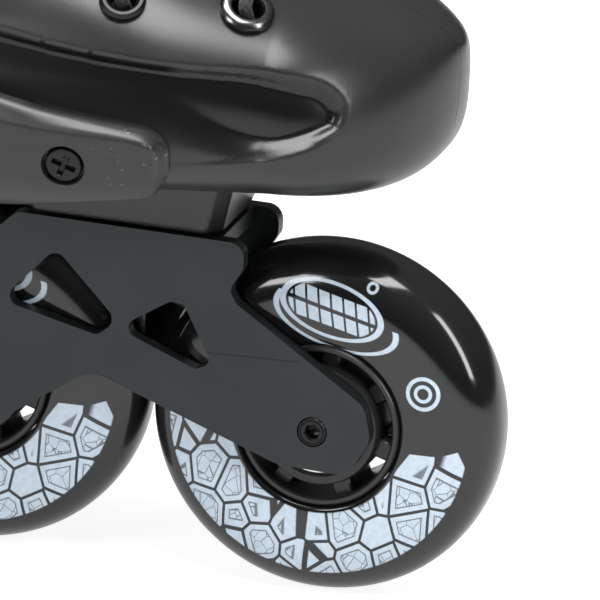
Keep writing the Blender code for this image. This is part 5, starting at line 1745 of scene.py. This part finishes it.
@dataclass
class Lining:
    """The padded inner boot, its tongue, the collar roll and the insole."""

    form: BootForm
    finishes: Finishes
    wall: float = 5.0
    tongue_depth: float = 7.6
    tongue_thick: float = 4.4

    def bend(self, piece: bpy.types.Object, slot: str, *nodes: str) -> None:
        """Bakes a soft piece's placement into its mesh, hides the nodes it stands for and reports it."""
        start, end = to_metres(Vector((-74, 0, 192))), to_metres(Vector((-58, 0, 268)))
        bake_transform(piece)
        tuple(start)
        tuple(end)
        settle(piece, slot, *nodes)

    def inset(self, at: float, angle: float) -> float:
        """How far the liner's outer face lies inside the boot's form."""
        turn = (angle + math.pi) % math.tau - math.pi
        under = max(0.0, 1 - (abs(turn) / 1.45) ** 4) * min(1.0, max(0.0, at + 0.9))
        return -(5.2 + 8.4 * under + 4.8 * max(0.0, -at - 0.3))

    def liner(self) -> None:
        """The inner boot: two faces with a rounded collar, sewn into channels above the ankle."""
        count = 96
        places = [-0.74, -0.68, -0.6, -0.5, -0.4, -0.2, *np.linspace(0.0, 14.95, 118)]
        angles = [math.tau * k / count for k in range(count)]
        rows = []
        for at in places:
            channel = 0.55 * max(0.0, math.cos((at - 11.2) * math.tau / 1.05)) ** 8
            channel *= smooth_step(10.6, 11.2, at)
            rolled = 1.4 * smooth_step(14.7, 14.95, at)
            rows.append([self.form.point(at, a, self.inset(at, a) - channel - rolled) for a in angles])
        for at in reversed(places[2:]):
            rise = 1.2 * smooth_step(14.7, 14.95, at) + 0.175 * math.sin(at * math.tau / 0.8) - self.wall
            rows.append([self.form.point(at, a, self.inset(at, a) + rise) for a in angles])
        piece = mesh_object("skate_liner", loft(rows), self.finishes.cloth, 70)
        self.bend(piece, "liner_fabric", "liner")

    def collar(self) -> None:
        """The stuffed roll round the collar, swollen by pressure between its seams."""
        rows, steps, sides, opening, height = [], 100, 24, 0.86, 14.55
        for k in range(steps + 1):
            angle = opening + (math.tau - 2 * opening) * k / steps
            middle = self.form.point(height, angle, self.inset(height, angle) - 2.6)
            out = (self.form.point(height, angle) - self.form.point(height, angle, -6.0)).normalized()
            up = (self.form.point(14.9, angle, -6.0) - self.form.point(14.2, angle, -6.0)).normalized()
            ends = max(0.25, min(1.0, math.sin(math.pi * k / steps) * 6.0))
            pinch = 1.0 - 0.14 * max(0.0, math.cos(k * math.tau / 20)) ** 6
            ring = []
            for j in range(sides):
                turn = math.tau * j / sides
                arm = out * (3.4 * math.cos(turn)) + up * (7.5 * math.sin(turn))
                ring.append(middle + arm * ends * pinch)
            rows.append(ring)
        piece = mesh_object("skate_collar_roll", loft(rows), self.finishes.cloth, 70)
        swell(piece, 2.4, 1.2)
        self.bend(piece, "liner_fabric", "liner")

    def tongue(self) -> None:
        """The padded tongue, quilted across, with a sewn edge binding."""
        rows, columns, last = [], 40, self.form.collar
        lift = (self.form.point(last, 0) - self.form.point(last - 0.5, 0)).normalized()
        stops = [*np.linspace(0.78, last, 150), *(last + extra for extra in np.linspace(0.12, 0.9, 12))]
        for at in stops:
            beyond = max(0.0, at - last) / 0.9
            base = min(at, last)
            ends = math.sqrt(max(0.02, 1 - (1 - min(1.0, (at - 0.74) / 0.4)) ** 2))
            ends *= math.sqrt(max(0.03, 1 - beyond**4))
            drop_over = lift * 12.0 * beyond
            half = (0.60 + 0.10 * min(1.0, base / 6)) * (0.75 + 0.25 * ends)
            quilt = 0.8 * (abs(math.sin(base * math.pi / 0.62)) ** 0.6) - 0.5
            top, low = [], []
            for k in range(columns + 1):
                share = 1 - 2 * k / columns
                body = (1 - abs(share) ** 5) ** 0.5 * ends
                binding = 0.45 * math.exp(-((abs(share) - 0.9) / 0.035) ** 2)
                face = -self.tongue_depth - 0.4 - (1 - body) * self.tongue_thick / 2
                inner = 1.0 if abs(share) < 0.86 else 0.0
                face += quilt * 0.6 * inner * body - binding
                top.append(self.form.point(base, half * share, face) + drop_over)
                under = -self.tongue_depth - self.tongue_thick + (1 - body) * self.tongue_thick / 2
                low.append(self.form.point(base, half * share, under) + drop_over)
            rows.append([*top, *reversed(low)])
        piece = mesh_object("skate_tongue", loft(rows), self.finishes.cloth, 70)
        self.bend(piece, "liner_fabric", "tongue")
        spots = []
        for at in np.linspace(1.2, last, 110):
            half = 0.60 + 0.10 * min(1.0, at / 6)
            for side in (-1, 1):
                angle = half * 0.84 * side
                here = self.form.point(at, angle, -self.tongue_depth - 0.45)
                before, after = (self.form.point(at + step, angle, -8.0) for step in (-0.05, 0.05))
                along = (after - before).normalized()
                out = (self.form.point(at, angle, 0.0) - here).normalized()
                across = out.cross(along).normalized()
                turn = Matrix((along, across, along.cross(across))).transposed().to_4x4()
                spots.append(Matrix.Translation(here) @ turn)
        stitch = block((1.7, 0.5, 0.45), 0.13)
        thread = repeat("skate_tongue_stitches", stitch, spots, self.finishes.thread, 0.1)
        self.bend(thread, "liner_fabric", "tongue")

    def footbed(self) -> None:
        """The insole, thicker at its rim, with a heel cup and a shallow row of arch ribs."""
        rows, columns = [], 32
        for at in np.linspace(-0.5, 6.55, 90):
            section = self.form.section(at)
            middle = self.form.point(at, math.pi, -10.4)
            spare = 18.2 if at >= 0 else 15.2
            shut = math.sqrt(max(0.02, 1 - (1 - min(1.0, (at + 0.52) / 0.22)) ** 2))
            shut *= math.sqrt(max(0.05, min(1.0, (6.6 - at) / 0.25)))
            low = middle.z + 1.1 + 5.0 * max(0.0, at - 5.6)
            over, under = [], []
            for k in range(columns + 1):
                share = -1 + 2 * k / columns
                width = (section.outer if share < 0 else section.inner) - spare
                cup = 4.2 * abs(share) ** 5
                ribs = 0.12 * math.sin(at * math.tau * 4) * (1 - abs(share) ** 2)
                y = section.side_shift + share * width * shut
                over.append(Vector((middle.x, y, low + 3.8 + ribs + cup * 0.55)))
                under.append(Vector((middle.x, y, low + 0.2 + cup)))
            rows.append([*over, *reversed(under)])
        piece = mesh_object("skate_footbed", loft(rows), self.finishes.foam, 60)
        place(piece, "boot", "footbed_foam", "footbed")

    def build(self) -> None:
        """Makes the soft parts."""
        self.liner()
        self.collar()
        self.tongue()
        self.footbed()


def swell(piece: bpy.types.Object, voxel: float, cap: float) -> None:
    """Fills a soft piece by a short pressure simulation.

    Args:
        piece: The piece.
        voxel: Size of its remeshed cells, in millimetres.
        cap: The furthest that a point may move, in millimetres.
    """
    remesh = piece.modifiers.new("Remesh", "REMESH")
    remesh.mode = "VOXEL"
    remesh.voxel_size = voxel * MM
    apply_modifiers(piece)
    start = np.array([vert.co for vert in piece.data.vertices])
    cloth = piece.modifiers.new("Cloth", "CLOTH")
    cloth.settings.use_pressure = True
    cloth.settings.uniform_pressure_force = 4.0
    cloth.settings.effector_weights.gravity = 0.0
    cloth.settings.quality = 5
    scene = bpy.context.scene
    for step in range(1, 21):
        scene.frame_set(step)
    apply_modifiers(piece)
    scene.frame_set(1)
    moved = np.array([vert.co for vert in piece.data.vertices]) - start
    reach = np.linalg.norm(moved, axis=1, keepdims=True)
    held = start + moved * np.minimum(1.0, cap * MM / np.maximum(reach, 1e-9))
    piece.data.vertices.foreach_set("co", held.astype(np.float32).ravel())
    smooth = piece.modifiers.new("Smooth", "SUBSURF")
    smooth.levels = smooth.render_levels = 1
    apply_modifiers(piece)
    piece.data.shade_smooth()


@dataclass
class Lace:
    """The round lace through every eyelet, with a braided skin and an aglet on each end."""

    form: BootForm
    finishes: Finishes
    radius: float = 1.5
    under: float = 5.75

    def beside(self, index: int, side: int, share: float, outset: float, ahead: float = 0.0) -> Vector:
        """A point near an eyelet."""
        at, angle = self.form.eyelets[index]
        return self.form.point(at + ahead, side * angle * share, outset)

    def rising(self, index: int, side: int) -> list[Vector]:
        """From under the shell up through a hole and over the throat's edge."""
        at, low = self.form.eyelets[index][0], -self.under
        steps = ((0.80, low), (0.93, low - 0.2), (1.0, -5.0), (1.0, -1.5), (1.0, 1.4), (0.92, 2.8))
        over = self.form.point(at, side * (self.form.throat_angle(at) - 0.03), 2.3)
        return [*(self.beside(index, side, share, outset) for share, outset in steps), over]

    def half_route(self, side: int, height: float) -> list[Vector]:
        """One end's way from the front eyelet to the last."""
        points = self.rising(0, side)
        for index in range(1, len(self.form.eyelets)):
            points.append(self.beside(index, side, 0.36, height - 0.6, -0.62))
            side = -side
            points.append(self.beside(index, side, 0.10, height - 1.4, -0.42))
            points.append(self.beside(index, side, 0.54, -4.7, -0.18))
            points += self.rising(index, side)
        return points

    def route(self) -> list[Vector]:
        """The whole way, from one loose end to the other."""
        loose = [(4.10, 0.90, 2.2), (4.5, 1.02, 2.2), (5.0, 1.06, 2.2)]
        ends = [[self.form.point(at, side * angle, lift) for at, angle, lift in loose] for side in (1, -1)]
        at = self.form.eyelets[0][0]
        first, second = self.half_route(1, -1.9), self.half_route(-1, 1.6)
        return [*reversed([*first, *ends[0]]), self.form.point(at, 0.3, -self.under),
                self.form.point(at, -0.3, -self.under), *second, *ends[1]]

    def build(self) -> None:
        """Sweeps the lace and caps its ends."""
        points = self.route()
        values, between, spacing = [tuple(point) for point in points], 9, 0.8
        path = [Vector(spline(values, k / between)) for k in range((len(values) - 1) * between + 1)]
        even, travelled = [path[0]], 0.0
        for before, after in zip(path, path[1:]):
            travelled += (after - before).length
            if travelled >= spacing:
                even.append(after)
                travelled = 0.0
        sides, lengths = 10, [0.0]
        normal = Vector((0, 0, 1))
        bm = bmesh.new()
        layer = bm.loops.layers.uv.new("UVMap")
        hoops = []
        for k, here in enumerate(even):
            along = (even[min(k + 1, len(even) - 1)] - even[max(k - 1, 0)]).normalized()
            normal = (normal - along * normal.dot(along)).normalized()
            other = along.cross(normal)
            if k:
                lengths.append(lengths[-1] + (here - even[k - 1]).length)
            arms = (normal * math.cos(math.tau * j / sides) + other * math.sin(math.tau * j / sides)
                    for j in range(sides))
            hoops.append([bm.verts.new(here + arm * self.radius) for arm in arms])
        for k, (first, second) in enumerate(zip(hoops, hoops[1:])):
            for j in range(sides):
                after = (j + 1) % sides
                face = bm.faces.new([first[j], first[after], second[after], second[j]])
                spots = ((j, k), (j + 1, k), (j + 1, k + 1), (j, k + 1))
                for loop, (u, v) in zip(face.loops, spots):
                    loop[layer].uv = (u / sides, lengths[v])
        bm.faces.new(hoops[0])
        bm.faces.new(hoops[-1])
        piece = mesh_object("skate_lace", bm, self.finishes.lace, 60)
        LOG.info("lace length %.0f mm", lengths[-1])
        place(piece, "boot", "lace_cord", "lace")
        tips = []
        for end, before in ((even[0], even[8]), (even[-1], even[-9])):
            way = (end - before).normalized()
            tip = tube(((1.3, -7.6), (1.72, -7.2), (1.72, -0.6), (1.4, 0.3), (0.8, 0.6)), 20)
            tips.append(moved(tip, facing(end, way)))
        aglets = mesh_object("skate_lace_aglets", merged(tips), self.finishes.nylon, 40)
        place(aglets, "boot", "lace_cord", "lace")


# ---- Studio --------------------------------------------------------------------------------------


@dataclass
class Studio:
    """Camera, floor, lamps and surroundings."""

    azimuth: float = 14.725
    elevation: float = 17.805
    roll: float = 3.67
    view_width: float = 132.96
    aim: Pair = (6.95, 24.74)
    distance: float = 4000.0

    def camera(self) -> bpy.types.Object:
        """The camera, low on the outer side and a little ahead."""
        turn, tilt = math.radians(self.azimuth), math.radians(self.elevation)
        back = Vector((math.sin(turn) * math.cos(tilt), -math.cos(turn) * math.cos(tilt), math.sin(tilt)))
        right = (-back).cross(Vector((0, 0, 1))).normalized()
        up = back.cross(right)
        c, s = math.cos(math.radians(self.roll)), math.sin(math.radians(self.roll))
        across, above = right * c + up * s, up * c - right * s
        target = Vector((Skate.wheel_x[0], 0.0, Skate.wheel_radius))
        spot = target + back * self.distance - across * self.aim[0] + above * self.aim[1]
        data = bpy.data.cameras.new("camera")
        data.sensor_width = 36.0
        data.lens = data.sensor_width * self.distance / self.view_width
        data.clip_start, data.clip_end = 0.1, 30.0
        made = bpy.data.objects.new("camera", data)
        bpy.context.scene.collection.objects.link(made)
        basis = Matrix((across, above, back)).transposed().to_4x4()
        made.matrix_world = Matrix.Translation(to_metres(spot)) @ basis
        bpy.context.scene.camera = made
        return made

    def lamp(self, name: str, spot: Sequence[float], aim: Sequence[float], size: Pair, power: float) -> None:
        """A rectangular area lamp at spot, turned to aim, in metres."""
        data = bpy.data.lights.new(name, "AREA")
        data.shape = "RECTANGLE"
        data.size, data.size_y = size
        data.energy = power
        made = bpy.data.objects.new(name, data)
        bpy.context.scene.collection.objects.link(made)
        made.location = Vector(spot)
        made.rotation_euler = (Vector(aim) - Vector(spot)).to_track_quat("-Z", "Y").to_euler()

    def floor(self) -> None:
        """A pale floor that glows a little, as on a light table."""
        bm = bmesh.new()
        bmesh.ops.create_grid(bm, x_segments=8, y_segments=8, size=2.2)
        mesh = bpy.data.meshes.new("floor")
        bm.to_mesh(mesh)
        bm.free()
        made = link("floor", mesh)
        made.location.z = -0.0002
        tree = ShaderTree("floor paper")
        vector, _, _, _ = tree.coordinates()
        grain = tree.noise(vector, 0.02, 3.0)
        seen = Value(tree, tree.node("ShaderNodeLightPath").outputs["Is Camera Ray"])
        colour = tree.mix(grain, (0.33, 0.33, 0.33), (0.36, 0.36, 0.36))
        glow = tree.mix(seen, (0.618, 0.618, 0.618), (1.0, 1.0, 1.0))
        paper = tree.finish(Base_Color=colour, Roughness=0.9, Emission_Color=glow, Emission_Strength=0.89)
        mesh.materials.append(paper)

    def surroundings(self) -> None:
        """White to the camera, dim and darker near the horizon to everything else."""
        world = bpy.data.worlds.new("studio")
        world.use_nodes = True
        nodes, links = world.node_tree.nodes, world.node_tree.links
        nodes.clear()
        path = nodes.new("ShaderNodeLightPath")
        place_at = nodes.new("ShaderNodeTexCoord")
        split = nodes.new("ShaderNodeSeparateXYZ")
        ramp = nodes.new("ShaderNodeValToRGB")
        stops = ((0.05, (0.03, 0.03, 0.03, 1.0)), (0.9, (0.30, 0.30, 0.31, 1.0)))
        for element, (position, colour) in zip(ramp.color_ramp.elements, stops):
            element.position, element.color = position, colour
        dim, bright = nodes.new("ShaderNodeBackground"), nodes.new("ShaderNodeBackground")
        bright.inputs["Color"].default_value = (1.0, 1.0, 1.0, 1.0)
        choose, output = nodes.new("ShaderNodeMixShader"), nodes.new("ShaderNodeOutputWorld")
        for source, out, target, entrance in (
            (place_at, "Generated", split, 0), (split, "Z", ramp, 0), (ramp, 0, dim, "Color"),
            (path, "Is Camera Ray", choose, 0), (dim, 0, choose, 1), (bright, 0, choose, 2),
            (choose, 0, output, 0),
        ):
            links.new(source.outputs[out], target.inputs[entrance])
        bpy.context.scene.world = world

    def build(self) -> None:
        """Sets the whole studio."""
        scene = bpy.context.scene
        scene.view_settings.view_transform = "Standard"
        self.camera()
        self.floor()
        self.surroundings()
        self.lamp("top softbox", (-0.1, -0.25, 1.3), (0.05, 0.0, 0.1), (1.5, 0.7), 34.0)
        self.lamp("front softbox", (-0.7, -1.5, 0.9), (0.05, 0.0, 0.1), (0.6, 0.5), 9.0)
        self.lamp("side strip", (1.3, -0.5, 0.75), (0.12, 0.0, 0.08), (0.25, 0.9), 8.0)


def main() -> None:
    """Builds the skate and its studio."""
    logging.basicConfig(level=logging.INFO, format="%(name)s %(message)s")
    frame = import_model()
    low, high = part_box("frame")
    Skate.side_shift = (low.y + high.y) / 2 / MM
    Studio().build()
    finishes = Finishes()
    form = BootForm()
    for number in range(1, 5):
        Wheel(number, finishes).build()
    Frame(finishes).build()
    Shell(form, finishes).build()
    cuff = CuffForm()
    Cuff(cuff, finishes).build()
    Straps(cuff, finishes).build()
    Lining(form, finishes).build()
    Lace(form, finishes).build()
    for number in range(1, 5):
        repaint(frame["nodes"][f"wheel_{number}_spacer"], finishes.steel)


if __name__ == "__main__":
    main()
